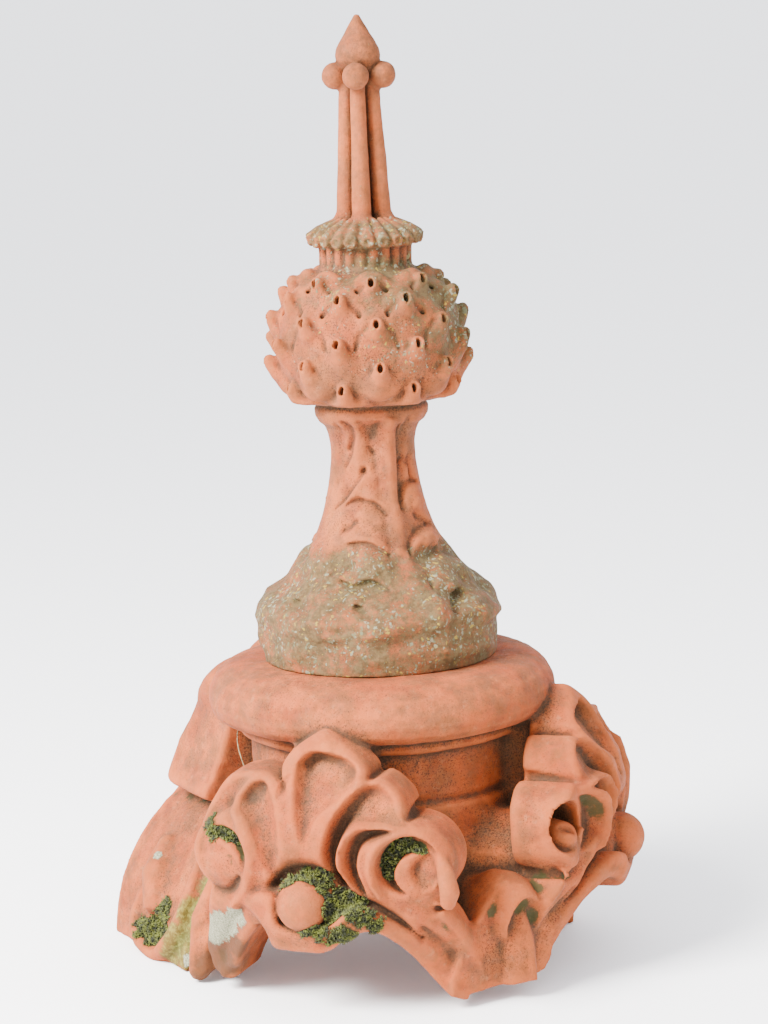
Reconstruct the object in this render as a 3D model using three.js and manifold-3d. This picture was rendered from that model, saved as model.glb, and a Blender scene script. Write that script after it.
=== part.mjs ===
// Terracotta roof finial for the place where two hips meet a ridge.
// It is made as two fired pieces. The base is a hollow saddle with three arched openings, a carved
// palmette over each one, and a round drum with a torus on top. The spire stands on that torus: a
// bell foot, a leafed neck, a ball of scales, a reeded neck with a crown, and four stems under a bud.
// Millimetres, +Z up. The finial's axis is vertical, the hip end faces -Y and the ridge runs to +Y.
import * as THREE from "three";
import { mergeVertices } from "three/addons/utils/BufferGeometryUtils.js";
import Module from "manifold-3d";

const wasm = await Module();
wasm.setup();

// Driving dimensions
const HEIGHT = 900;
const BASE_TOP = 294;
const JOINT_GAP = 0.3;
const DRUM_RADIUS = 127;
const FILLET_RADIUS = 137;
const TORUS_RADIUS = 166;
const HOLLOW_RADIUS = 98;
const HOLLOW_TOP = 252;
const FOOT_RADIUS = 194;
const RIDGE_HALF_WIDTH = 201;
const RIDGE_CROWN = 178;
const RIDGE_LENGTH = 216;
const WALL = 28;
const PALMETTE_TIP = 257;
const RIDGE_LIFT = 32;
const PALMETTE_BACK = 150;
const SCROLL = { height: 147, radius: 35, hollow: 25, curl: 13, face: 214 };
const OPENING = { crown: 84, shoulder: 57 };
// How far a scroll's centre is from its palmette's middle, beside the hip end and beside the ridge
const SCROLL_NEAR = 93;
const SCROLL_FAR = 85;

const BERRY_RADIUS = 22;
const BERRY_REACH = 228;
const BALL_FOOT = 540;
const BALL_TOP = 666;
const BALL_TURN = 18;
const SCALES_PER_ROW = 8;
// Rows of scales up the ball: height, radius of the body and of the tips, and how far tips rise
const SCALE_ROWS = [
  { z: 556, core: 70, tip: 90, rise: 4 }, { z: 576, core: 81, tip: 98, rise: 5 },
  { z: 597, core: 84, tip: 96, rise: 6 }, { z: 617, core: 82, tip: 93, rise: 7 },
  { z: 636, core: 75, tip: 87, rise: 8 }, { z: 653, core: 61, tip: 71, rise: 9 },
];
const NECK_LEAVES = 8;
// Rows of hollows up the bell and neck: height, half-height, half-angle in degrees, depth, stagger
const LEAF_ROWS = [
  { z: 348, half: 11, halfAngle: 9, depth: 5, offset: 0 },
  { z: 376, half: 13, halfAngle: 9, depth: 7, offset: 0.5 },
  { z: 408, half: 15, halfAngle: 9, depth: 6, offset: 0 },
  { z: 440, half: 14, halfAngle: 10, depth: 4, offset: 0.5 },
  { z: 470, half: 13, halfAngle: 11, depth: 4, offset: 0 },
  { z: 496, half: 10, halfAngle: 11, depth: 3, offset: 0.5 },
];
const CROWN_PETALS = 22;
const STEM_COUNT = 4;
const STEM_TURN = -34;

// The two hip palmettes: where each faces, how much higher than the lowest it sits, and its legs.
// On each side: the scroll's distance, the leg's inner and outer edge at its foot, how high that
// foot ends, and the bend of the jamb between the foot and the crown of the opening.
const HIP_LEFT = {
  azimuth: -46, lift: 0,
  left: { scroll: SCROLL_FAR, inner: 108, outer: 156, end: 0, jamb: [98, 56] },
  right: { scroll: SCROLL_NEAR, inner: 126, outer: 147, end: 0, jamb: [92, 46] },
};
const HIP_RIGHT = {
  azimuth: 50, lift: 8,
  left: { scroll: SCROLL_NEAR, inner: 120, outer: 140, end: 12, jamb: [90, 46] },
  right: { scroll: SCROLL_FAR, inner: 108, outer: 156, end: 0, jamb: [98, 56] },
};
const RIDGE = { azimuth: 180, lift: RIDGE_LIFT, left: { scroll: 98 }, right: { scroll: 98 } };

// Turned profiles, as radius and height
const DRUM_PROFILE = [
  [0, 0], [FOOT_RADIUS - 4, 0], [FOOT_RADIUS - 8, 18], [164, 58], [138, 108], [130, 172], [124, 177],
  [DRUM_RADIUS, 182], [DRUM_RADIUS, 223], [FILLET_RADIUS, 225], [FILLET_RADIUS, 237], [154, 240],
  [TORUS_RADIUS, 256], [163, 273], [148, 289], [125, BASE_TOP], [0, BASE_TOP],
];
const BELL_PROFILE = [
  [111, BASE_TOP + JOINT_GAP], [112.5, 324], [114, 334], [113, 346], [107, 355], [96, 363], [86, 372],
  [78, 381], [67.5, 394], [59, 410], [53.5, 424], [49.5, 437], [46, 450], [43.5, 463], [41.3, 477],
  [40, 493], [42, 510], [50, 520], [54, 530], [52, 538], [46, 542],
];
const BUD_PROFILE = [
  [0, 706], [7, 706], [7, 830], [20.5, 858], [20, 866], [15.5, 875], [9, 885], [0, HEIGHT],
];
// The bulge that the front of every palmette follows. Above FRONT_RISE it is lifted with its palmette.
const FRONT_RISE = 60;
const FRONT_PROFILE = [
  [FOOT_RADIUS, 0], [201, 38], [212, 70], [223, 96], [228, 132], [231, 164], [225, 190], [210, 217],
  [195, 240], [181, 262],
];
// Cupped lobes of a palmette: across, reach, height, half-width, half-height, lean in degrees
const LOBE_CUPS = [
  [0, 206, 224, 17, 26, 0], [0, 228, 172, 8, 24, 0],
  [52, 210, 197, 15, 21, 20], [40, 226, 158, 10, 24, 22],
  [-52, 210, 197, 15, 21, -20], [-40, 226, 158, 10, 24, -22],
];
const CORNER_LEAF = { azimuth: 6, reach: 218, width: 62, top: 120, foot: 10, seat: 120 };
const APRON_LEAF = { azimuth: 108, reach: 214, width: 54, top: 84, foot: 0, seat: 150 };
const STEM = { foot: [20, 703, 12], neck: [16.6, 719, 9], top: [11.8, 838, 6.6], ball: [22.5, 843, 12.6] };

const TERRACOTTA = new THREE.Color().setRGB(0.66, 0.33, 0.21);
const WEATHERED = new THREE.Color().setRGB(0.62, 0.34, 0.23);

const rad = THREE.MathUtils.degToRad;
const BIG = 400;

// A closed geometry as a solid, with its faces turned outwards
function solid(geometry, matrix = new THREE.Matrix4()) {
  const plain = geometry.index ? geometry.toNonIndexed() : geometry.clone();
  plain.applyMatrix4(matrix);
  plain.deleteAttribute("normal");
  plain.deleteAttribute("uv");
  const merged = mergeVertices(plain, 1e-3);
  const p = merged.attributes.position.array;
  const kept = [];
  let volume = 0;
  const a = new THREE.Vector3();
  const b = new THREE.Vector3();
  const c = new THREE.Vector3();
  for (let i = 0; i < merged.index.count; i += 3) {
    const [i0, i1, i2] = [0, 1, 2].map((k) => merged.index.getX(i + k));
    if (i0 === i1 || i1 === i2 || i2 === i0) continue;
    a.fromArray(p, 3 * i0);
    b.fromArray(p, 3 * i1);
    c.fromArray(p, 3 * i2);
    volume += a.dot(b.cross(c));
    kept.push(i0, i1, i2);
  }
  if (volume < 0) {
    for (let i = 0; i < kept.length; i += 3) [kept[i], kept[i + 1]] = [kept[i + 1], kept[i]];
  }
  const mesh = new wasm.Mesh({
    numProp: 3,
    vertProperties: new Float32Array(p),
    triVerts: new Uint32Array(kept),
  });
  return new wasm.Manifold(mesh);
}

function joined(solids) {
  return solids.reduce((whole, one) => whole.add(one));
}

function place(x, y, z, turn = new THREE.Euler(), scale = new THREE.Vector3(1, 1, 1)) {
  const q = new THREE.Quaternion().setFromEuler(turn);
  return new THREE.Matrix4().compose(new THREE.Vector3(x, y, z), q, scale);
}

// A profile of radius and height, turned round the finial's axis
function turned(profile, segments) {
  const points = profile.map(([r, z]) => new THREE.Vector2(r, z));
  return solid(new THREE.LatheGeometry(points, segments), new THREE.Matrix4().makeRotationX(rad(90)));
}

// A front outline of across and height, drawn back from a plane at the distance "reach" to "back"
function fronted(shape, reach, back, curveSegments = 5) {
  const geometry = new THREE.ExtrudeGeometry(shape, {
    depth: reach - back, bevelEnabled: false, curveSegments, steps: 1,
  });
  geometry.translate(0, 0, back);
  return solid(geometry, new THREE.Matrix4().makeRotationX(rad(90)));
}

function ellipsoid(centre, radii, columns = 10, rows = 7, turn = new THREE.Euler()) {
  const matrix = place(centre[0], centre[1], centre[2], turn, new THREE.Vector3(...radii));
  return solid(new THREE.SphereGeometry(1, columns, rows), matrix);
}

// A round rod from one point to another, with its radius at each end
function rod(from, to, r0, r1, sides) {
  const a = new THREE.Vector3(...from);
  const b = new THREE.Vector3(...to);
  const along = b.clone().sub(a);
  const geometry = new THREE.CylinderGeometry(r1, r0, along.length(), sides, 1);
  const q = new THREE.Quaternion().setFromUnitVectors(new THREE.Vector3(0, 1, 0), along.normalize());
  const middle = a.clone().add(b).multiplyScalar(0.5);
  return solid(geometry, new THREE.Matrix4().compose(middle, q, new THREE.Vector3(1, 1, 1)));
}

function atAzimuth(manifold, degrees) {
  const e = new THREE.Matrix4().makeRotationZ(rad(degrees)).elements;
  return manifold.transform([...e]);
}

// One half of a hip palmette's front outline, from its tip to the ground. side is 1 or -1.
function hipHalf(side, lift, leg) {
  const s = new THREE.Shape();
  const bend = (cx, cz, ex, ez) => s.quadraticCurveTo(side * cx, cz, side * ex, ez);
  s.moveTo(0, PALMETTE_TIP + lift);
  bend(24, 251 + lift, 31, 232 + lift);
  bend(34, 218 + lift, 26, 209 + lift);
  bend(38, 225 + lift, 54, 220 + lift);
  bend(74, 212 + lift, leg.scroll - 12, 180 + lift);
  for (const degrees of [80, 50, 20, -10, -40]) {
    const a = rad(degrees);
    const x = leg.scroll + SCROLL.radius * Math.cos(a);
    s.lineTo(side * x, SCROLL.height + lift + SCROLL.radius * Math.sin(a));
  }
  bend(leg.outer - 16, 60 + lift / 2, leg.outer, leg.end);
  s.lineTo(side * leg.inner, leg.end);
  bend(leg.jamb[0], leg.jamb[1] + lift / 2, OPENING.shoulder, OPENING.crown + lift);
  s.lineTo(0, OPENING.crown + lift);
  return s.getPoints(3);
}

// The ridge palmette is a taller fan, with a hood over the vault at each side and no legs
function ridgeHalf(side, lift) {
  const s = new THREE.Shape();
  const bend = (cx, cz, ex, ez) => s.quadraticCurveTo(side * cx, cz + lift, side * ex, ez + lift);
  s.moveTo(0, PALMETTE_TIP + lift);
  bend(26, 254, 32, 232);
  bend(35, 216, 36, 209);
  bend(50, 228, 74, 223);
  bend(98, 214, 102, 188);
  bend(116, 150, 142, 112);
  s.lineTo(side * 112, 84);
  s.lineTo(0, 84);
  return s.getPoints(3);
}

function wholeOutline(rightPoints, leftPoints) {
  return new THREE.Shape([...rightPoints, ...leftPoints.reverse().slice(1, -1)]);
}

// The surface that the front of every palmette follows, bulging outwards over its opening
function palmetteFront(lift) {
  const raised = FRONT_PROFILE.map(([r, z]) => [r, z + lift * Math.min(1, z / FRONT_RISE)]);
  const top = raised[raised.length - 1][1];
  return turned([[0, -5], [FOOT_RADIUS, -5], ...raised, [0, top]], 24);
}

// The hollow under one hip palmette, in the frame of that palmette
function opening({ lift, left, right }) {
  const crown = OPENING.crown + lift;
  const s = new THREE.Shape();
  s.moveTo(-left.inner, -20);
  s.lineTo(-left.inner, left.end);
  s.quadraticCurveTo(-left.jamb[0], left.jamb[1] + lift / 2, -OPENING.shoulder, crown);
  s.lineTo(OPENING.shoulder, crown);
  s.quadraticCurveTo(right.jamb[0], right.jamb[1] + lift / 2, right.inner, right.end);
  s.lineTo(right.inner, -20);
  return fronted(s, BIG, 0);
}

// The carving on one palmette's front: cupped lobes, scrolls with a curl, a berry and its lip
function carved(block, arm) {
  const { lift } = arm;
  let body = block;
  for (const [across, reach, height, halfWidth, halfHeight, lean] of LOBE_CUPS) {
    const turn = new THREE.Euler(rad(height > 180 ? -32 : 0), rad(lean), 0);
    body = body.subtract(
      ellipsoid([across, -reach, height + lift], [halfWidth, 12, halfHeight], 7, 5, turn));
  }
  const { height: scrollHeight, hollow, curl, radius, face } = SCROLL;
  for (const side of [-1, 1]) {
    const x = side * (side > 0 ? arm.right : arm.left).scroll;
    const z = scrollHeight + lift;
    body = body.add(rod([x, -face, z], [x, -PALMETTE_BACK - 5, z], radius, radius, 10));
    body = body.subtract(rod([x, -BIG, z], [x, 26 - face, z], hollow, hollow, 8));
    const curlX = x + side * 7;
    body = body.add(rod([curlX, -face, z - 10], [curlX, -170, z - 10], curl, curl, 6));
    const knob = [x + side * 36, -196, z - 20];
    body = body.add(ellipsoid(knob, [10, 14, 15], 6, 4));
  }
  const lip = new THREE.Shape();
  lip.moveTo(-48, 92 + lift);
  lip.quadraticCurveTo(-22, 66 + lift, 0, 68 + lift);
  lip.quadraticCurveTo(26, 66 + lift, 50, 92 + lift);
  body = body.add(fronted(lip, 230, 196));
  return body.add(ellipsoid([-3, -BERRY_REACH, 109 + lift], Array(3).fill(BERRY_RADIUS), 8, 6));
}

// A leaf that rises from a foot and curls out over a hollow face with a rib
function footLeaf({ reach, width, top, foot, seat }) {
  const s = new THREE.Shape();
  s.moveTo(seat, foot);
  s.lineTo(reach - 16, foot);
  s.lineTo(reach - 6, foot + (top - foot) * 0.6);
  s.lineTo(reach + 6, top - 16);
  s.quadraticCurveTo(reach + 4, top, reach - 20, top + 2);
  s.lineTo(seat, top - 12);
  const geometry = new THREE.ExtrudeGeometry(s, { depth: width, bevelEnabled: false, curveSegments: 5 });
  geometry.translate(0, 0, -width / 2);
  const sideways = new THREE.Matrix4().makeBasis(
    new THREE.Vector3(0, -1, 0), new THREE.Vector3(0, 0, 1), new THREE.Vector3(-1, 0, 0));
  const half = width / 2;
  const front = new THREE.Shape();
  front.moveTo(-half - 4, foot - 5);
  front.lineTo(half + 4, foot - 5);
  front.lineTo(half, top - 36);
  front.quadraticCurveTo(half, top + 4, 0, top + 4);
  front.quadraticCurveTo(-half, top + 4, -half, top - 36);
  const block = solid(geometry, sideways).intersect(fronted(front, reach + 20, 60));
  const cup = rod([0, -reach - 8, foot - 20], [0, -reach - 2, top - 12], width * 0.34, width * 0.3, 10);
  const rib = rod([0, -reach + 18, foot], [0, -reach + 14, top - 8], 4, 3, 6);
  return block.subtract(cup).add(rib);
}

// A palmette's block: its outline cut to the bulging front, with a web back to the drum
function standing(outline, lift) {
  const web = new THREE.Shape([
    new THREE.Vector2(-34, 60), new THREE.Vector2(34, 60),
    new THREE.Vector2(34, 236), new THREE.Vector2(-34, 236),
  ]);
  const low = new THREE.Shape([
    new THREE.Vector2(-118, 0), new THREE.Vector2(118, 0),
    new THREE.Vector2(96, 122 + lift), new THREE.Vector2(-96, 122 + lift),
  ]);
  const block = fronted(outline, 260, PALMETTE_BACK).intersect(palmetteFront(lift));
  return block.add(fronted(web, PALMETTE_BACK + 5, 90)).add(fronted(low, PALMETTE_BACK + 5, 60));
}

function ridgeBase() {
  const drum = turned(DRUM_PROFILE, 32);

  const vault = (halfWidth, crown, length) => {
    const s = new THREE.Shape();
    s.moveTo(-halfWidth, -5);
    s.lineTo(-halfWidth, 0);
    s.absellipse(0, 0, halfWidth, crown, Math.PI, 0, true);
    s.lineTo(halfWidth, -5);
    return atAzimuth(fronted(s, length, 0, 8), RIDGE.azimuth);
  };
  const ground = fronted(new THREE.Shape([
    new THREE.Vector2(-BIG, -BIG), new THREE.Vector2(BIG, -BIG),
    new THREE.Vector2(BIG, 0), new THREE.Vector2(-BIG, 0),
  ]), BIG, -BIG);

  const hips = [HIP_LEFT, HIP_RIGHT];
  const shell = [drum, vault(RIDGE_HALF_WIDTH, RIDGE_CROWN, RIDGE_LENGTH)];
  const hollows = [
    turned([[0, -20], [HOLLOW_RADIUS, -20], [HOLLOW_RADIUS, HOLLOW_TOP - 14],
      [HOLLOW_RADIUS - 16, HOLLOW_TOP], [0, HOLLOW_TOP]], 20),
    vault(RIDGE_HALF_WIDTH - WALL, RIDGE_CROWN - WALL, BIG),
  ];
  for (const hip of hips) {
    const outline = wholeOutline(hipHalf(1, hip.lift, hip.right), hipHalf(-1, hip.lift, hip.left));
    shell.push(atAzimuth(standing(outline, hip.lift), hip.azimuth));
    hollows.push(atAzimuth(opening(hip), hip.azimuth));
  }
  shell.push(atAzimuth(footLeaf(CORNER_LEAF), CORNER_LEAF.azimuth));
  for (const side of [-1, 1]) {
    shell.push(atAzimuth(footLeaf(APRON_LEAF), side * APRON_LEAF.azimuth));
  }
  let body = joined(shell).subtract(joined(hollows)).subtract(ground);

  for (const hip of hips) {
    body = atAzimuth(carved(atAzimuth(body, -hip.azimuth), hip), hip.azimuth);
  }
  const fan = wholeOutline(ridgeHalf(1, RIDGE.lift), ridgeHalf(-1, RIDGE.lift));
  const crest = atAzimuth(carved(standing(fan, RIDGE.lift), RIDGE), RIDGE.azimuth);
  return body.add(crest.subtract(joined(hollows)));
}

// How far the bell and neck stand out from their plain profile: ribs that run down the neck, and
// staggered rows of teardrop hollows between leaf tips
function leafRelief(azimuth, z) {
  const sector = 360 / NECK_LEAVES;
  const near = (offset) => {
    const turn = azimuth / sector - offset;
    return (turn - Math.round(turn)) * sector;
  };
  const fade = THREE.MathUtils.smoothstep(z, 372, 410) * (1 - THREE.MathUtils.smoothstep(z, 500, 512));
  let out = fade * 3.2 * Math.exp(-((near(0) / 7) ** 2));
  for (const row of LEAF_ROWS) {
    const across = near(row.offset) / row.halfAngle;
    const along = (z - row.z) / row.half;
    const hollow = Math.exp(-(across ** 2) - along ** 2);
    const tip = Math.exp(-((near(row.offset + 0.5) / row.halfAngle) ** 2) - along ** 2);
    out += row.depth * (0.55 * tip - hollow);
  }
  return out;
}

function reliefTurned(profile, segments, relief) {
  const geometry = new THREE.LatheGeometry(profile.map(([r, z]) => new THREE.Vector2(r, z)), segments);
  const position = geometry.attributes.position;
  for (let i = 0; i < position.count; i += 1) {
    const [x, z, y] = [position.getX(i), position.getY(i), position.getZ(i)];
    const r = Math.hypot(x, y);
    if (r < 1) continue;
    const grown = (r + relief(THREE.MathUtils.radToDeg(Math.atan2(y, x)), z)) / r;
    position.setXYZ(i, x * grown, z, y * grown);
  }
  return solid(geometry, new THREE.Matrix4().makeRotationX(rad(90)));
}

// The ball: a turned body whose vertices are drawn out into staggered rows of upward-leaning scales
function scaledBall() {
  const columns = SCALES_PER_ROW * 4;
  const rings = [[0, BALL_FOOT], [50, BALL_FOOT]];
  SCALE_ROWS.forEach((row, k) => {
    const next = SCALE_ROWS[k + 1] ?? row;
    rings.push([row.core, row.z]);
    if (next !== row) rings.push([(row.core + next.core) / 2 + 2, (row.z + next.z) / 2]);
  });
  rings.push([45, BALL_TOP - 3], [38, BALL_TOP], [0, BALL_TOP]);
  const geometry = new THREE.LatheGeometry(rings.map(([r, z]) => new THREE.Vector2(r, z)), columns);
  const position = geometry.attributes.position;
  SCALE_ROWS.forEach((row, k) => {
    for (let column = 0; column <= columns; column += 1) {
      if ((column + (k % 2) * 2) % 4 !== 0) continue;
      const i = column * rings.length + 2 + 2 * k;
      const grown = row.tip / row.core;
      position.setXYZ(i, position.getX(i) * grown, row.z + row.rise, position.getZ(i) * grown);
    }
  });
  const upright = new THREE.Matrix4().makeRotationX(rad(90));
  return atAzimuth(solid(geometry, upright), BALL_TURN);
}

// A slab with a ring of lobes. flats are the places of a lobe's crest between two notches.
function scalloped(radius, depth, count, z0, z1, flats) {
  const s = new THREE.Shape();
  for (let i = 0; i < count; i += 1) {
    for (const [step, r] of [[0, radius - depth], ...flats.map((flat) => [flat, radius])]) {
      const a = ((i + step) / count) * 2 * Math.PI;
      const point = [r * Math.cos(a), r * Math.sin(a)];
      if (i === 0 && step === 0) s.moveTo(...point);
      else s.lineTo(...point);
    }
  }
  const geometry = new THREE.ExtrudeGeometry(s, { depth: z1 - z0, bevelEnabled: false });
  geometry.translate(0, 0, z0);
  return solid(geometry);
}

function finialSpire() {
  const inBall = BALL_FOOT + 20;
  const [, foot] = BELL_PROFILE[0];
  const [rim] = BELL_PROFILE[BELL_PROFILE.length - 1];
  const bell = reliefTurned(
    [[0, foot], ...BELL_PROFILE, [rim, inBall], [0, inBall]], NECK_LEAVES * 4, leafRelief);
  let body = bell.add(scaledBall());

  body = body.add(scalloped(43, 3, CROWN_PETALS, 652, 690, [0.5]));
  body = body.add(scalloped(56, 7, CROWN_PETALS, 687, 699, [0.25, 0.75]));
  body = body.add(turned([[0, 695], [53, 695], [53, 700], [44, 706], [30, 711], [0, 711]], CROWN_PETALS));
  for (let i = 0; i < CROWN_PETALS; i += 1) {
    const azimuth = (360 / CROWN_PETALS) * (i + 0.5) + 90;
    body = body.subtract(atAzimuth(rod([0, -60, 693], [0, -48, 693], 4.6, 3.6, 4), azimuth));
  }

  for (let i = 0; i < STEM_COUNT; i += 1) {
    const [foot2, neck, top, ball] = [STEM.foot, STEM.neck, STEM.top, STEM.ball];
    const stem = joined([
      rod([0, -foot2[0], foot2[1]], [0, -neck[0], neck[1]], foot2[2], neck[2], 8),
      rod([0, -neck[0], neck[1] - 1], [0, -top[0], top[1]], neck[2], top[2], 8),
      ellipsoid([0, -ball[0], ball[1]], Array(3).fill(ball[2]), 8, 5),
    ]);
    body = body.add(atAzimuth(stem, STEM_TURN + (360 / STEM_COUNT) * i));
  }
  return body.add(turned(BUD_PROFILE, 12));
}

function pieceMesh(name, manifold, colour, roughness) {
  const { vertProperties, triVerts } = manifold.getMesh();
  const geometry = new THREE.BufferGeometry();
  geometry.setAttribute("position", new THREE.BufferAttribute(new Float32Array(vertProperties), 3));
  geometry.setIndex(new THREE.BufferAttribute(new Uint32Array(triVerts), 1));
  geometry.computeVertexNormals();
  const material = new THREE.MeshStandardMaterial({ color: colour, roughness, metalness: 0 });
  const mesh = new THREE.Mesh(geometry, material);
  mesh.name = name;
  return mesh;
}

const finial = new THREE.Group();
finial.add(pieceMesh("ridge_base", ridgeBase(), TERRACOTTA, 0.9));
finial.add(pieceMesh("finial_spire", finialSpire(), WEATHERED, 0.92));
// The origin is on the ground, at the middle of the bounding box
const middle = new THREE.Box3().setFromObject(finial).getCenter(new THREE.Vector3());
finial.position.set(-middle.x, -middle.y, 0);

export default finial;
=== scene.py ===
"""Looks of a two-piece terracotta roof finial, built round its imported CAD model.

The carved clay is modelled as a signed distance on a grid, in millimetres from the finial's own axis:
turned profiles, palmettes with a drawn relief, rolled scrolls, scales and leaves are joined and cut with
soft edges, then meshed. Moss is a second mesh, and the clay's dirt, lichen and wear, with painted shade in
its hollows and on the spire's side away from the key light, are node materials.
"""
import math

import bpy
import numpy as np
from mathutils import Matrix, Vector


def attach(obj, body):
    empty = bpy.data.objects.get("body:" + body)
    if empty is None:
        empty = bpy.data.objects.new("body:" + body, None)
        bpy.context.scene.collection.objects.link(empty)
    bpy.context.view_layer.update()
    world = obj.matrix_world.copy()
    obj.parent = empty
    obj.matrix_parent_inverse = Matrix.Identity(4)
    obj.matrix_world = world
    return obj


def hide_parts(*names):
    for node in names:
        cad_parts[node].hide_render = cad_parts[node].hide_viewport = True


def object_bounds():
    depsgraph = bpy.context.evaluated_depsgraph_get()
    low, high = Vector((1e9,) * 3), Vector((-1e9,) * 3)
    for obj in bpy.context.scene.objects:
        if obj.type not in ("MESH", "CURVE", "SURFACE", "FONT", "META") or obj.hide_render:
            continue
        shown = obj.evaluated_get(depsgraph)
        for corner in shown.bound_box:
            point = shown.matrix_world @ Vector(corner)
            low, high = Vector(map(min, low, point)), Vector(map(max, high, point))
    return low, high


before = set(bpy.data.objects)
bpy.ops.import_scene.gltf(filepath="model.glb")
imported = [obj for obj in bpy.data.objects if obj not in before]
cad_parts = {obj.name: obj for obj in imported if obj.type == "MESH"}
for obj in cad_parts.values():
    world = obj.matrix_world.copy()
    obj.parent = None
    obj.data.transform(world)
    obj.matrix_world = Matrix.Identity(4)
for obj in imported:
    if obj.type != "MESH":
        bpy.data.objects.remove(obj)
CAD_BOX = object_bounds()

# Where the finial's axis stands in the CAD frame, in mm
AXIS = (-1.4867, -3.3730)
MM = 0.001
# The photo was taken from this azimuth off the CAD frame's -Y
VIEW_TURN = math.radians(-27)

# Driving sizes, in mm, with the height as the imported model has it
HEIGHT = round(CAD_BOX[1][2] / MM)
BASE_TOP = 294
JOINT_GAP = 0.3
HOLLOW_RADIUS = 98
HOLLOW_TOP = 252
RIDGE_OUTER = (201, 178)
RIDGE_INNER = (173, 150)
RIDGE_LENGTH = 214
PALMETTE_BACK = 150
BASE_STEP = 2.3
SPIRE_STEP = 1.75
MAX_TRIANGLES = 192000
# How far past its ends an outline's table of distances reaches, in mm
TABLE_PAD = 30

# Seeds of the random draws
SCALES_SEED = 41
MOSS_SEED = 7
LUMPS_SEED = 21
SMALL_LUMPS_SEED = 23
# Unevenness of the clay: the height and length in mm of each wave, and its seed
BASE_WAVES = ((0.8, 32, 3), (0.35, 9, 4))
SPIRE_WAVES = ((0.4, 24, 7), (0.25, 6, 8))


def smooth_min(a, b, k):
    """The lower of two values, rounded over where they are within k."""
    h = np.clip(0.5 + 0.5 * (b - a) / k, 0, 1)
    return b + (a - b) * h - k * h * (1 - h)


def smooth_max(a, b, k):
    return -smooth_min(-a, -b, k)


def smooth_step(low, high, value):
    t = np.clip((value - low) / (high - low), 0, 1)
    return t * t * (3 - 2 * t)


def spline(points, closed=True, per=7):
    """A Catmull-Rom curve through the points."""
    p = np.asarray(points, float)
    if closed:
        q = np.concatenate([p[-1:], p, p[:2]])
    else:
        q = np.concatenate([2 * p[:1] - p[1:2], p, 2 * p[-1:] - p[-2:-1]])
    t = (np.arange(per) / per)[:, None]
    out = []
    for a, b, c, d in zip(q, q[1:], q[2:], q[3:]):
        out.append(0.5 * (2 * b + (c - a) * t + (2 * a - 5 * b + 4 * c - d) * t**2
                          + (3 * b - a - 3 * c + d) * t**3))
    if not closed:
        out.append(p[-1:])
    return np.concatenate(out)


def outline_distance(x, y, points):
    """Signed distance to a closed outline, negative inside."""
    best = np.full(np.broadcast(x, y).shape, 1e9)
    inside = np.zeros(best.shape, bool)
    for (ax, ay), (bx, by) in zip(points, np.roll(points, -1, 0)):
        ex, ey = bx - ax, by - ay
        wx, wy = x - ax, y - ay
        t = np.clip((wx * ex + wy * ey) / (ex * ex + ey * ey + 1e-9), 0, 1)
        best = np.minimum(best, (wx - ex * t) ** 2 + (wy - ey * t) ** 2)
        crossing = (ay <= y) != (by <= y)
        inside ^= crossing & ((ex * wy - wx * ey > 0) == (by > ay))
    return np.where(inside, -1.0, 1.0) * np.sqrt(best)


def line_distance(x, y, points):
    """Distance to an open line, how far along it (0 to 1), and the side: + to its left."""
    shape = np.broadcast(x, y).shape
    best = np.full(shape, 1e9)
    along = np.zeros(shape)
    side = np.zeros(shape)
    count = len(points) - 1
    for i, ((ax, ay), (bx, by)) in enumerate(zip(points, points[1:])):
        ex, ey = bx - ax, by - ay
        wx, wy = x - ax, y - ay
        t = np.clip((wx * ex + wy * ey) / (ex * ex + ey * ey + 1e-9), 0, 1)
        d = (wx - ex * t) ** 2 + (wy - ey * t) ** 2
        near = d < best
        best = np.where(near, d, best)
        along = np.where(near, (i + t) / count, along)
        side = np.where(near, np.sign(ex * wy - ey * wx), side)
    return np.sqrt(best), along, side


def between(table, place):
    """Rows of a table read at fractional places."""
    place = np.clip(place, 0, len(table) - 1.001)
    i = place.astype(int)
    t = (place - i).astype(np.float32)[..., None]
    return table[i] * (1 - t) + table[i + 1] * t


def outline_table(outline, across, heights):
    """Signed distance to an outline of across and up, over a grid of places."""
    rows = np.arange(outline[:, 0].min() - TABLE_PAD, outline[:, 0].max() + TABLE_PAD + 2, 1.0)
    table = outline_distance(rows[:, None], heights[None, :], outline).astype(np.float32)
    return between(table, across - rows[0])


def lattice(count, cells):
    """Weights that spread a coarse row of random values over a fine one."""
    pos = np.linspace(0, cells - 1.001, count)
    i = pos.astype(int)
    t = pos - i
    t = t * t * (3 - 2 * t)
    w = np.zeros((count, cells), np.float32)
    w[np.arange(count), i] = 1 - t
    w[np.arange(count), i + 1] += t
    return w


def noise_grid(shape, cell, seed):
    """Smooth noise from -1 to 1 on a grid, with features of about cell voxels."""
    cells = [max(3, int(n / cell) + 2) for n in shape]
    out = np.random.default_rng(seed).uniform(-1, 1, cells).astype(np.float32)
    for axis, n in enumerate(shape):
        out = np.moveaxis(np.tensordot(lattice(n, cells[axis]), out, (1, axis)), 0, axis)
    return out


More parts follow.
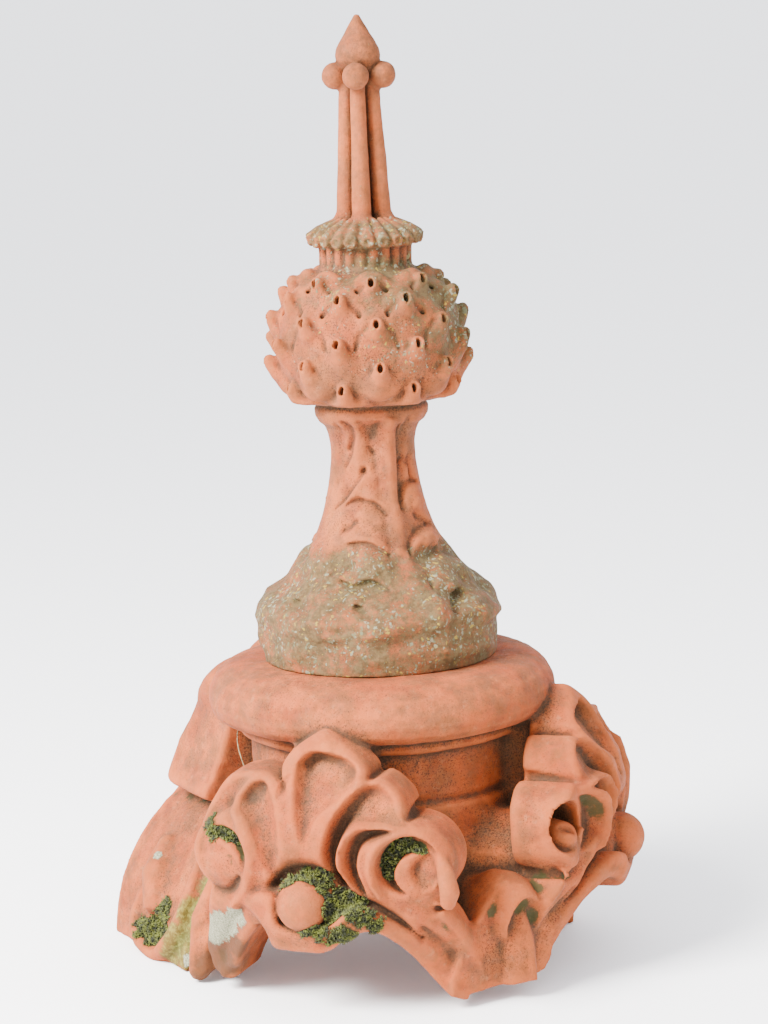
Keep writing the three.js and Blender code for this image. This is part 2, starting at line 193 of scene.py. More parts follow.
class Clay:
    """A block of clay: a signed distance on a grid, negative inside, and the tools that shape it."""

    def __init__(self, low, high, step):
        self.low = np.array(low, float)
        self.step = step
        count = np.ceil((np.array(high) - self.low) / step).astype(int) + 1
        self.axes = [self.low[i] + step * np.arange(count[i]) for i in range(3)]
        self.d = np.full(count, 40.0, np.float32)

    def window(self, low, high):
        """The part of the grid inside a box, and its places along each axis."""
        cut = []
        for i in range(3):
            a = int(np.clip(np.searchsorted(self.axes[i], low[i]), 0, len(self.axes[i])))
            b = int(np.clip(np.searchsorted(self.axes[i], high[i]) + 1, 0, len(self.axes[i])))
            cut.append(slice(a, b))
        x, y, z = (self.axes[i][cut[i]] for i in range(3))
        return tuple(cut), x[:, None, None], y[None, :, None], z[None, None, :]

    def apply(self, shape, low, high, soft, how):
        cut, x, y, z = self.window(low, high)
        if min(s.stop - s.start for s in cut) <= 0:
            return
        d = shape(x, y, z)
        if how == "add":
            self.d[cut] = smooth_min(self.d[cut], d, soft)
        elif how == "cut":
            self.d[cut] = smooth_max(self.d[cut], -d, soft)
        else:
            self.d[cut] = smooth_max(self.d[cut], d, soft)

    def everywhere(self, shape, soft=3.0, how="add"):
        self.apply(shape, self.low, [a[-1] for a in self.axes], soft, how)

    def near(self, shape, box, soft=3.0, how="add", margin=8.0):
        """Adds or cuts a shape, and works only inside its box and a margin."""
        low, high = np.array(box[0]) - margin, np.array(box[1]) + margin
        self.apply(shape, low, high, soft, how)

    def face(self, azimuth, made, soft=3.0, how="add", margin=8.0):
        """The same for a shape that is drawn in the frame of the face at that azimuth."""
        self.near(*facing(azimuth, made), soft, how, margin)

    def sample(self, points, grid=None):
        """Trilinear values of a grid at points."""
        grid = self.d if grid is None else grid
        p = (points - self.low) / self.step
        top = np.array(grid.shape) - 1.001
        p = np.clip(p, 0, top)
        i = p.astype(int)
        t = p - i
        out = 0
        for dx in (0, 1):
            for dy in (0, 1):
                for dz in (0, 1):
                    w = ((t[:, 0] if dx else 1 - t[:, 0]) * (t[:, 1] if dy else 1 - t[:, 1])
                         * (t[:, 2] if dz else 1 - t[:, 2]))
                    out = out + w * grid[i[:, 0] + dx, i[:, 1] + dy, i[:, 2] + dz]
        return out

    def roughen(self, waves):
        """Makes every face a little uneven, as clay worked by hand is."""
        self.d += sum(tall * noise_grid(self.d.shape, length / self.step, seed)
                      for tall, length, seed in waves)

    def blurred(self, radius):
        """The share of clay within about radius, 0.5 on a flat face and more in a hollow."""
        out = np.clip(0.5 - self.d / (2 * self.step), 0, 1).astype(np.float32)
        half = max(1, int(round(radius / self.step / 2)))
        for _ in range(2):
            for axis in range(3):
                pad = [(0, 0)] * 3
                pad[axis] = (half + 1, half)
                total = np.cumsum(np.pad(out, pad, mode="edge"), axis=axis, dtype=np.float32)
                n = out.shape[axis]
                upper = np.take(total, np.arange(n) + 2 * half + 1, axis)
                out = (upper - np.take(total, np.arange(n), axis)) / (2 * half + 1)
        return out

    def mesh(self):
        """Surface nets: one vertex for each cell that the surface passes through."""
        d = self.d
        inside = d < 0
        size = np.array(d.shape) - 1
        corners = [(i, j, k) for i in (0, 1) for j in (0, 1) for k in (0, 1)]
        total = np.zeros(size, np.uint8)
        for i, j, k in corners:
            total += inside[i:size[0] + i, j:size[1] + j, k:size[2] + k]
        active = (total > 0) & (total < 8)
        cells = np.argwhere(active)
        index = np.full(size, -1, np.int32)
        index[active] = np.arange(len(cells))
        values = [d[cells[:, 0] + i, cells[:, 1] + j, cells[:, 2] + k] for i, j, k in corners]
        position = np.zeros((len(cells), 3))
        hits = np.zeros(len(cells))
        for a in range(8):
            for b in range(a + 1, 8):
                ca, cb = np.array(corners[a]), np.array(corners[b])
                if abs(ca - cb).sum() != 1:
                    continue
                va, vb = values[a], values[b]
                cross = (va < 0) != (vb < 0)
                t = np.where(cross, va / np.where(cross, va - vb, 1), 0)
                position += np.where(cross[:, None], ca + t[:, None] * (cb - ca), 0)
                hits += cross
        vertices = self.low + self.step * (cells + position / hits[:, None])
        quads = []
        for axis in range(3):
            p, q = (axis + 1) % 3, (axis + 2) % 3
            cut = [slice(1, -1)] * 3
            cut[axis] = slice(0, -1)
            first = inside[tuple(cut)]
            cut[axis] = slice(1, None)
            second = inside[tuple(cut)]
            e = np.argwhere(first != second)
            lower_inside = first[e[:, 0], e[:, 1], e[:, 2]]
            e[:, p] += 1
            e[:, q] += 1
            step_p, step_q = np.eye(3, dtype=int)[p], np.eye(3, dtype=int)[q]
            ring = [e - step_p - step_q, e - step_q, e, e - step_p]
            quad = np.stack([index[r[:, 0], r[:, 1], r[:, 2]] for r in ring], -1)
            quads.append(np.where(lower_inside[:, None], quad, quad[:, ::-1]))
        return vertices, np.concatenate(quads)


def ellipsoid(centre, radii):
    """A shape, like all below: its signed distance and the box it lies in."""
    centre, radii = np.array(centre, float), np.array(radii, float)

    def shape(x, y, z):
        a, b, c = (x - centre[0]), (y - centre[1]), (z - centre[2])
        k0 = np.sqrt((a / radii[0]) ** 2 + (b / radii[1]) ** 2 + (c / radii[2]) ** 2)
        k1 = np.sqrt((a / radii[0] ** 2) ** 2 + (b / radii[1] ** 2) ** 2 + (c / radii[2] ** 2) ** 2)
        return k0 * (k0 - 1) / np.maximum(k1, 1e-6)
    return shape, (centre - radii, centre + radii)


def strand(points, radii, flat=1.0):
    """A round rope of clay through points, with a radius at each. flat < 1 thins it in x."""
    points = np.asarray(points, float)
    radii = np.broadcast_to(np.asarray(radii, float), len(points))

    def shape(x, y, z):
        out = None
        for a, b, ra, rb in zip(points, points[1:], radii, radii[1:]):
            e = b - a
            w = (x - a[0], y - a[1], z - a[2])
            t = np.clip((w[0] * e[0] + w[1] * e[1] + w[2] * e[2]) / max(e @ e, 1e-9), 0, 1)
            q = [(w[k] - e[k] * t) for k in range(3)]
            d = np.sqrt((q[0] / flat) ** 2 + q[1] ** 2 + q[2] ** 2) - (ra + (rb - ra) * t)
            out = d if out is None else np.minimum(out, d)
        return out
    r = radii.max()
    return shape, (points.min(0) - r, points.max(0) + r)


def drum_shape(x, z, radius, near, far, soft=6.0):
    """A round block whose axis runs outwards, from one distance to another."""
    def shape(u, e, v):
        d = np.sqrt((u - x) ** 2 + (v - z) ** 2) - radius
        return smooth_max(smooth_max(d, near - e, soft), e - far, soft)
    return shape, ((x - radius, near, z - radius), (x + radius, far, z + radius))


def lathe(profile):
    """A turned shape from a closed outline of radius and height."""
    points = np.asarray(profile, float)
    low, high = points.min(0), points.max(0)

    def shape(x, y, z):
        z = np.asarray(z)[0, 0, :]
        r = np.hypot(x, y)[:, :, 0]
        rows = np.arange(0, r.max() + 2, 1.0)
        return between(outline_distance(rows[:, None], z[None, :], points).astype(np.float32), r)
    return shape, ((-high[0], -high[0], low[1]), (high[0], high[0], high[1]))


def facing(azimuth, made):
    """The same shape in the frame of a face at that azimuth: x across, y outwards, z up."""
    shape, (low, high) = made
    a = math.radians(azimuth)
    c, s = math.cos(a), math.sin(a)

    def turned(x, y, z):
        return shape(x * c + y * s, x * s - y * c, z)
    corners = [(u * c + e * s, u * s - e * c) for u in (low[0], high[0]) for e in (low[1], high[1])]
    xs, ys = zip(*corners)
    return turned, ((min(xs), min(ys), low[2]), (max(xs), max(ys), high[2]))


class Relief:
    """A drawn relief: how far a surface stands out, over across and up."""

    def __init__(self, low, high, step=1.0):
        self.low, self.step = np.array(low, float), step
        n = ((np.array(high) - self.low) / step).astype(int) + 1
        self.u = (self.low[0] + step * np.arange(n[0]))[:, None]
        self.z = (self.low[1] + step * np.arange(n[1]))[None, :]
        self.h = np.zeros(n)

    def hollow(self, points, depth, soft, lean=(0, 0)):
        """Cuts inside a closed outline. lean makes it deeper towards one side."""
        outline = spline(points)
        d = outline_distance(self.u, self.z, outline)
        centre = outline.mean(0)
        weight = 1 + lean[0] * (self.u - centre[0]) + lean[1] * (self.z - centre[1])
        share = np.clip(-d / soft, 0, 1)
        share = share * (2 - share)
        self.h -= depth * share * np.clip(weight, 0, 2)

    def stroke(self, points, width, depth, step=0.0, reach=8.0):
        """A groove (or a ridge, with depth below 0). step lifts its left side, as far out as reach."""
        d, along, side = line_distance(self.u, self.z, spline(points, closed=False, per=5))
        ends = smooth_step(0, 0.2, along) * smooth_step(0, 0.2, 1 - along)
        taper = 0.45 + 0.55 * ends
        self.h -= depth * np.exp(-(d / (width * taper)) ** 2)
        if step:
            self.h += step * side * np.exp(-d / reach) * ends * (1 - np.exp(-(d / width) ** 2))

    def dome(self, centre, radius, height):
        """A round swelling, or a dish with height below 0."""
        d = np.hypot(self.u - centre[0], self.z - centre[1]) / radius
        round_top = np.sqrt(np.clip(1 - d**2, 0, 1))
        self.h += height * (round_top if height > 0 else smooth_step(1, 0.25, d))

    def crescent(self, outer, inner, depth, soft):
        """Cuts the part of one disc (x, z, radius) that is outside another."""
        a = np.hypot(self.u - outer[0], self.z - outer[1]) - outer[2]
        b = np.hypot(self.u - inner[0], self.z - inner[1]) - inner[2]
        self.h -= depth * smooth_step(0, soft, -smooth_max(a, -b, 2.0))

    def rows(self, z):
        """The relief resampled at the heights z, one row for each step across."""
        pos = np.clip((np.ravel(z) - self.low[1]) / self.step, 0, self.h.shape[1] - 1.001)
        i = pos.astype(int)
        t = pos - i
        return (self.h[:, i] * (1 - t) + self.h[:, i + 1] * t).astype(np.float32)

    def at(self, u, z):
        """The relief over a grid of places across (2-D) and heights (1-D)."""
        return between(self.rows(z), (u - self.low[0]) / self.step)


# The base. Azimuth in degrees and lift in mm of each hip's palmette, and the side of its broad scroll
HIPS = [(-46, 0, 1), (50, 8, -1)]
CORNER_AZIMUTH = 6
RIDGE_AZIMUTH = 180
SCROLL_HEIGHT = 146
# What is lifted keeps its foot on the ground: the lift grows up to this height
LIFT_FULL = 60
# The surface that every palmette's front follows: height and distance from the axis
FRONT_Z = [0, 38, 70, 96, 132, 164, 190, 217, 240, 262, 300]
FRONT_R = [194, 201, 212, 223, 228, 231, 225, 210, 195, 181, 150]

# The hip palmette's outline and arch as seen from the front, and its scroll's inner end with its radius
HIP_RIGHT_SIDE = [
    (2, 259), (14, 255), (28, 246), (40, 237), (48, 228), (51, 219), (60, 222), (72, 215), (81, 205),
    (85, 195), (88, 187), (96, 184), (107, 181), (117, 172), (124, 159), (126, 145), (123, 130),
    (117, 117), (116, 104), (125, 88), (134, 66), (140, 44), (144, 24), (146, 4), (142, 0),
]
LEFT_CURL = (98, 137, 20)
RIGHT_CURL = (97, 134, 14)
HIP_ARCH_RIGHT = [(126, -20), (124, 2), (114, 10), (103, 25), (90, 47), (77, 64), (63, 78), (50, 84)]
HIP_ARCH_LEFT = [(-50, 84), (-62, 78), (-75, 63), (-87, 42), (-96, 20), (-100, 0), (-101, -20)]
HIP_LEFT_SIDE = [
    (-150, 0), (-148, 14), (-136, 40), (-122, 70), (-113, 96), (-108, 112), (-110, 130), (-111, 148),
    (-108, 166), (-101, 180), (-90, 188), (-80, 192), (-76, 203), (-67, 215), (-54, 223), (-42, 222),
    (-32, 217), (-26, 211), (-31, 220), (-32, 231), (-25, 242), (-12, 252),
]

# The wavy lip under the berry, seen from the front: across, up
LIP = [
    (-68, 106), (-54, 94), (-46, 81), (-41, 67), (-29, 64), (4, 63), (18, 67), (30, 76), (48, 84),
    (62, 80), (78, 66), (92, 46), (108, 18), (124, 14), (108, 50), (92, 74), (76, 90), (60, 101),
    (46, 107), (34, 103), (25, 96), (16, 90), (0, 87), (-18, 87), (-28, 92), (-30, 104), (-32, 118),
    (-50, 118),
]
# How far the lip stands out from the palmette's front, by distance across
LIP_PROUD = ([0, 34, 56, 78, 130], [17, 16, 8, 3, 0])

# The ridge palmette's outline at its face, on the side that the photo shows: across, up
RIDGE_SIDE = [
    (0, 300), (20, 301), (40, 299), (55, 294), (65, 284), (70, 276), (80, 279), (96, 278), (112, 272),
    (122, 262), (126, 250), (124, 238), (122, 229), (125, 214), (130, 200), (136, 185), (143, 170),
    (149, 160), (149, 153), (138, 149), (124, 148), (108, 148), (92, 130), (60, 110),
]
# A dry straw caught on the drum's left
STRAW = [(-117, 62, 232), (-134, 44, 228), (-137, 38, 214), (-133, 36, 196), (-128, 38, 180)]
# Ridges of the curled leaf on the ridge part's left wall, in mm from the axis
APRON_CURL = [
    (-181, 158, 66), (-197, 164, 34), (-203, 150, 14), (-204, 114, 6), (-203, 80, 18), (-197, 60, 42),
    (-188, 54, 66), (-176, 62, 90), (-160, 76, 110),
]
APRON_BUMP = [(-168, 150, 98), (-183, 138, 72), (-192, 124, 50)]
APRON_PILLAR = [(-150, 26, 122), (-172, 22, 92), (-190, 20, 58), (-200, 12, 12)]


def mirrored(points):
    """Points of across and up, left for right."""
    return [(-x, z) for x, z in points]


def handed(points, side):
    """An outline as it is on the left hip, or left for right."""
    return points if side > 0 else mirrored(points)[::-1]


def lifted(points, lift):
    """Points of across and up, raised by lift except near the ground."""
    return [(x, z + lift * min(1, max(0, z / LIFT_FULL))) for x, z in points]


def hip_relief(curl, turned):
    """The carving of a hip palmette as seen from the front, measured on the left one.

    curl is the centre and radius of the scroll's inner end, turned how steeply the scroll's
    face falls away to the outside.
    """
    r = Relief((-165, -20), (165, 300))
    near_scroll = smooth_step(56, 36, np.hypot(r.u - 96, r.z - 146))
    r.h -= turned * near_scroll * np.clip(r.u - 74, 0, 60)
    # The middle lobe, cupped under a thick rim
    r.hollow([(-17, 228), (-13, 238), (-3, 244), (12, 243), (28, 239), (41, 230), (40, 216), (29, 204),
              (13, 192), (2, 172), (-6, 168), (-14, 198)], 14, 11, lean=(-0.012, 0.016))
    # The right lobe's long hollow, steep beside the middle rib
    r.hollow([(50, 217), (64, 217), (77, 208), (85, 195), (84, 184), (64, 182), (46, 182), (34, 170),
              (29, 150), (36, 126), (28, 120), (17, 138), (15, 162), (23, 188), (36, 207)],
             17, 10, lean=(-0.023, 0.0))
    r.stroke([(82, 182), (64, 184), (46, 183), (33, 171), (28, 151), (34, 128)], 3, -5)
    r.hollow([(84, 178), (66, 181), (48, 179), (37, 168), (33, 150), (38, 128), (50, 114), (52, 124),
              (46, 146), (52, 164), (68, 172)], 15, 7, lean=(-0.012, 0.0))
    # The left lobe's softer hollow
    r.hollow([(-45, 217), (-58, 216), (-69, 206), (-71, 194), (-63, 184), (-53, 168), (-46, 148),
              (-36, 130), (-26, 146), (-26, 172), (-32, 198)], 11, 14, lean=(-0.014, 0.004))
    r.hollow([(-66, 197), (-63, 210), (-52, 217), (-41, 213), (-46, 205), (-56, 195)], 5, 9)
    r.stroke([(-30, 205), (-27, 216), (-22, 223)], 3, 4)
    # Scrolls: a rolled edge round a deep crescent, with the curl's end inside
    r.stroke([(66, 118), (60, 134), (60, 152), (68, 168), (82, 177), (98, 178), (112, 170), (120, 156),
              (121, 140), (114, 126)], 6, -8)
    r.crescent((91, 146, 28), curl, 30, 3)
    r.stroke([(115, 154), (107, 152), (99, 147), (97, 139), (101, 133)], 3.4, 8)
    r.dome((curl[0] + 5, curl[1] - 3), 0.6 * curl[2], -5)
    r.stroke([(112, 144), (115, 134), (111, 124), (102, 120)], 2.5, -3)
    r.crescent((-86, 150, 27), (-94, 137, 25), 17, 10)
    r.dome((-94, 138), 16, 3)
    r.stroke([(-74, 190), (-62, 172), (-58, 146), (-64, 120), (-80, 100)], 7, -6)
    r.stroke([(-110, 122), (-98, 112), (-82, 114), (-71, 128)], 5, 7)
    # A groove between the berry and the lobes above it
    r.stroke([(-34, 126), (-22, 136), (0, 141), (20, 132), (34, 116), (54, 104), (74, 88), (90, 72)], 9, 17)
    r.stroke([(-60, 108), (-44, 116), (-32, 124)], 4, 4)
    # The leg's long rim and groove
    r.stroke([(96, 84), (112, 58), (124, 32), (132, 8)], 7, 6)
    r.stroke([(112, 108), (126, 80), (134, 54), (140, 28)], 5, -4)
    r.stroke([(-72, 96), (-92, 70), (-108, 40), (-118, 12)], 7, 4)
    return r


def ridge_relief():
    """The ridge palmette's carving, plainer than the hips'."""
    r = Relief((-165, -20), (165, 310))
    r.hollow([(-20, 268), (0, 282), (20, 268), (18, 238), (0, 205), (-18, 238)], 14, 20)
    for side in (1, -1):
        r.hollow([(side * u, z) for u, z in ((42, 246), (66, 252), (84, 240), (80, 222), (56, 206),
                                             (36, 176), (28, 196), (30, 222))], 14, 18)
        r.crescent((side * 96, 178, 26), (side * 102, 168, 18), 22, 5)
    return r


def flipped(relief):
    """A hip's relief, left for right."""
    out = Relief((-165, -20), (165, 300))
    out.h = relief.h[::-1].copy()
    return out


def palmette(outline, relief, lift, back=PALMETTE_BACK, edge=8.0, proud=0.0):
    """A palmette block: its outline drawn back from the bulging, carved front."""
    outline = spline(lifted(outline, lift), per=4)
    low, high = outline.min(0), outline.max(0)

    def shape(u, e, z):
        heights = np.ravel(z)
        across = u[:, :, 0]
        side = outline_table(outline, across, heights)
        drop = heights - lift * smooth_step(0, LIFT_FULL, heights)
        front = np.hypot(u, e) - np.interp(drop, FRONT_Z, FRONT_R)[None, None, :]
        front = (front - proud - relief.at(across, drop)) * 0.85
        return smooth_max(smooth_max(front, side, edge), back - e, 5.0)
    return shape, ((low[0], back, low[1]), (high[0], 262 + proud, high[1]))


def prism(outline, near, far, per=4, proud=None):
    """A closed outline of across and up, drawn from one distance outwards to another.

    proud makes it a layer on a palmette's front instead, standing out by that much.
    """
    outline = spline(outline, per=per) if per else np.asarray(outline, float)
    low, high = outline.min(0), outline.max(0)

    def shape(u, e, z):
        heights = np.ravel(z)
        across = u[:, :, 0]
        side = outline_table(outline, across, heights)
        if proud:
            front = np.interp(heights, FRONT_Z, FRONT_R)[None, None, :]
            front = np.hypot(u, e) - front - np.interp(np.abs(u), *proud)
            return smooth_max(smooth_max(side, -50 - front, 4.0), front, 7.0)
        return smooth_max(smooth_max(side, near - e, 4.0), e - far, 4.0)
    if proud:
        near, far = 100, max(FRONT_R) + max(proud[1])
    return shape, ((low[0], near, low[1]), (high[0], far, high[1]))


def vault(half, length):
    """The arched tunnel of the ridge, running to +Y."""
    a, b = half

    def shape(x, y, z):
        k0 = np.sqrt((x / a) ** 2 + (z / b) ** 2)
        k1 = np.sqrt((x / a**2) ** 2 + (z / b**2) ** 2)
        d = k0 * (k0 - 1) / np.maximum(k1, 1e-6)
        return smooth_max(smooth_max(d, y - length, 4.0), -y, 4.0)
    return shape, ((-a, 0, 0), (a, length, b))


def hip_point(side, lift):
    """Places on a hip's palmette, given as on the left one."""
    def point(u, e, z):
        return (side * u, e, z + lift * min(1, max(0, z / LIFT_FULL)))
    return point


def add_rolls(clay, azimuth, lift, side):
    """The rolled edges that stand behind a palmette's scrolls."""
    point = hip_point(side, lift)
    broad = (91, 37) if side > 0 else (94, 40)
    for u, radius in (broad, (-88, 33)):
        x, _, z = point(u, 0, SCROLL_HEIGHT)
        clay.face(azimuth, drum_shape(x, z, radius, 144, 202, 9))
    if side > 0:
        path = [point(117, 200, 154), point(124, 206, 140), point(128, 209, 124), point(126, 208, 114)]
        tail = strand(path, [5, 8, 9, 7])
    else:
        tail = strand([point(104, 186, 116), point(112, 192, 104)], [9, 5])
    clay.face(azimuth, tail)


def add_hip(clay, azimuth, lift, side, relief):
    """A hip's palmette with its rolls, and the clay that ties it to the drum."""
    add_rolls(clay, azimuth, lift, side)
    whole = HIP_RIGHT_SIDE + [(60, 40), (-60, 40)] + HIP_LEFT_SIDE
    clay.face(azimuth, palmette(handed(whole, side), relief, lift))
    low = lifted([(-120, 0), (120, 0), (98, 118), (60, 150), (-60, 150), (-98, 118)], lift)
    clay.face(azimuth, prism(low, 60, PALMETTE_BACK + 10, per=0), soft=8)
    web = [(-34, 60), (34, 60), (34, 238), (-34, 238)]
    clay.face(azimuth, prism(web, 90, PALMETTE_BACK + 12, per=0), soft=8)
    backing = [(-60, 140), (-50, 214), (-72, 222), (-88, 215), (-99, 201), (-108, 186), (-114, 168),
               (-113, 140)]
    clay.face(azimuth, prism(lifted(handed(backing, side), lift), PALMETTE_BACK - 8, 196), soft=6)


def finish_hip(clay, azimuth, lift, side):
    """The hip's arched opening, the grooves beside its scroll, and the berry and lip in front."""
    arch = handed(HIP_ARCH_RIGHT + HIP_ARCH_LEFT, side)
    clay.face(azimuth, prism(lifted(arch, lift), 0, 300, per=4), soft=4, how="cut")
    point = hip_point(side, lift)
    for groove in ([point(83, 140, 190), point(88, 176, 188), point(90, 208, 187)],
                   [point(112, 136, 106), point(114, 176, 104), point(108, 205, 102)]):
        clay.face(azimuth, strand(groove, [6, 4.5, 2]), how="cut")
    if side < 0:
        # This scroll opens towards the corner, with the curl's end inside
        mouth = strand([point(88, 172, 148), point(126, 212, 150)], [20, 27])
        curl = strand([point(86, 160, 138), point(101, 187, 136)], [14, 15])
        groove = strand([point(103, 199, 142), point(111, 190, 150)], [3, 6])
        clay.face(azimuth, mouth, soft=2.5, how="cut")
        clay.face(azimuth, curl, soft=2)
        clay.face(azimuth, groove, soft=2.5, how="cut")
    clay.face(azimuth, prism(lifted(handed(LIP, side), lift), 0, 0, proud=LIP_PROUD), soft=5)
    clay.face(azimuth, ellipsoid(point(-7, 226, 108), (23.5, 22, 23.5)), soft=1.5)


def cut_hollows(clay):
    """The hollows under the drum and under the ridge."""
    clay.near(*lathe([(0, -20), (HOLLOW_RADIUS, -20), (HOLLOW_RADIUS, HOLLOW_TOP - 14),
                      (HOLLOW_RADIUS - 16, HOLLOW_TOP), (0, HOLLOW_TOP)]), how="cut")
    shape, (low, high) = vault(RIDGE_INNER, 300)
    clay.near(shape, ((low[0], 0, -20), (high[0], 300, high[2])), how="cut")


def finish_corner(clay):
    """The corner leaf's cupped hood, its midrib and groove, and the chipped feet."""
    clay.face(CORNER_AZIMUTH, ellipsoid((11, 226, 66), (25, 30, 34)), soft=2.5, how="cut")
    clay.face(CORNER_AZIMUTH, strand([(8, 196, 8), (8, 193, 52), (11, 186, 86)], [20, 19, 13]))
    clay.face(CORNER_AZIMUTH, strand([(16, 216, 10), (13, 212, 50), (12, 199, 84)], [2.5, 3.5, 2.5]), soft=5)
    clay.face(CORNER_AZIMUTH, strand([(-6, 214, 60), (-12, 219, 10)], [4, 7]), soft=6, how="cut")
    corner_chip = [(-47, -9), (80, -9), (80, 24), (30, 18), (-47, 13)]
    hip_chip = [(-170, -9), (-84, -9), (-90, 20), (-106, 12), (-128, 15), (-170, 5)]
    for azimuth, chip in ((CORNER_AZIMUTH, corner_chip), (HIPS[0][0], hip_chip)):
        clay.face(azimuth, prism(chip, 100, 300, per=0), soft=2, how="cut")


def add_apron_leaf(clay, side):
    """The curled leaf on one wall of the ridge part."""
    def across(points):
        return [(side * x, y, z) for x, y, z in points]
    curl = spline(across(APRON_CURL), closed=False, per=3)
    thickness = np.interp(np.linspace(0, 1, len(curl)), [0, 0.3, 0.7, 1], [4, 9, 10, 3])
    clay.near(*strand(curl, thickness), soft=5)
    clay.near(*strand(across(APRON_BUMP), [9, 17, 14]), soft=8)
    clay.near(*strand(across(APRON_PILLAR), [6, 9, 11, 10]), soft=8)
    clay.near(*ellipsoid((side * 210, 112, 28), (22, 27, 19)), soft=4, how="cut")
    groove = strand(across([(-176, 46, 96), (-198, 40, 50), (-208, 34, 12)]), [4, 9, 12])
    clay.near(*groove, soft=6, how="cut")


def make_base():
    clay = Clay((-246, -250, -3 * BASE_STEP), (250, 258, BASE_TOP + 12), BASE_STEP)
    drum = lathe([(0, 0), (190, 0), (186, 18), (164, 58), (138, 108), (130, 172), (126, 173),
                  (124.5, 177), (127, 182), (127, 222), (130, 225), (137, 226), (139, 231), (137, 237),
                  (146, 238), (156, 241), (163, 248), (166, 257), (165, 268), (159, 280), (148, 289),
                  (135, 293), (125, BASE_TOP), (0, BASE_TOP)])
    clay.everywhere(drum[0])
    clay.near(*vault(RIDGE_OUTER, RIDGE_LENGTH), soft=8)
    reliefs = (hip_relief(LEFT_CURL, 0), flipped(hip_relief(RIGHT_CURL, 0.5)))
    for (azimuth, lift, side), relief in zip(HIPS, reliefs):
        add_hip(clay, azimuth, lift, side, relief)
    # The ridge palmette is a taller fan whose rolled ends hang over the vault
    fan = RIDGE_SIDE + mirrored(RIDGE_SIDE)[::-1][:-1]
    clay.face(RIDGE_AZIMUTH, palmette(fan, ridge_relief(), 0, back=92, edge=12, proud=12))
    # The corner leaf between the two hips
    leaf = [(-66, 14), (40, 16), (36, 84), (6, 108), (-28, 92)]
    clay.face(CORNER_AZIMUTH, prism(leaf, 100, 200), soft=6)
    clay.face(CORNER_AZIMUTH, ellipsoid((5, 184, 83), (29, 40, 35)), soft=5)
    cut_hollows(clay)
    for azimuth, lift, side in HIPS:
        finish_hip(clay, azimuth, lift, side)
    finish_corner(clay)
    for side in (1, -1):
        add_apron_leaf(clay, side)
    clay.everywhere(lambda x, y, z: -z + 0 * x + 0 * y, soft=2, how="keep")
    clay.roughen(BASE_WAVES)
    below = clay.axes[2] < -0.5 * BASE_STEP
    clay.d[:, :, below] = np.maximum(clay.d[:, :, below], 0.5)
    return clay


# The spire's turned outlines, as radius and height
BELL = [
    (0, 294.3), (111, 294.3), (112, 306), (112.5, 322), (114, 334), (113.5, 344), (108, 354), (97.5, 362),
    (87.5, 370), (80, 378), (74, 386), (67.5, 394), (62.8, 402), (59, 410), (55.3, 418), (52.3, 426),
    (49.6, 434), (47.4, 442), (45.6, 450), (43.8, 458), (42.4, 466), (41.3, 474), (40.3, 482), (39.8, 490),
    (40.2, 500), (42, 510), (45, 517), (50, 521), (53.5, 527), (54, 533), (51, 539), (46, 542), (46, 560),
    (0, 560),
]
BALL = [
    (0, 536), (46, 538), (62, 541), (70, 547), (77, 556), (83, 568), (86.5, 582), (87.5, 597), (86, 612),
    (82, 625), (76, 637), (68, 648), (60, 655), (50, 660), (45, 664), (43, 668), (0, 668),
]
BALL_FOOT = 543
SCALES_A_ROW = 8
REEDS = 11
PETALS = 22
STEMS = 4
STEM_AZIMUTH = -34
# Each row of scales: height, and how far its root and tip are from the axis
SCALE_ROWS = [(554, 74, 89), (577, 85, 99), (598, 87, 100), (618, 84, 96), (638, 76, 88), (652, 64, 74)]


def above(height, made):
    """The part of a shape that is above a height."""
    shape, box = made
    return (lambda x, y, z: smooth_max(shape(x, y, z), height - z, 3.0)), box


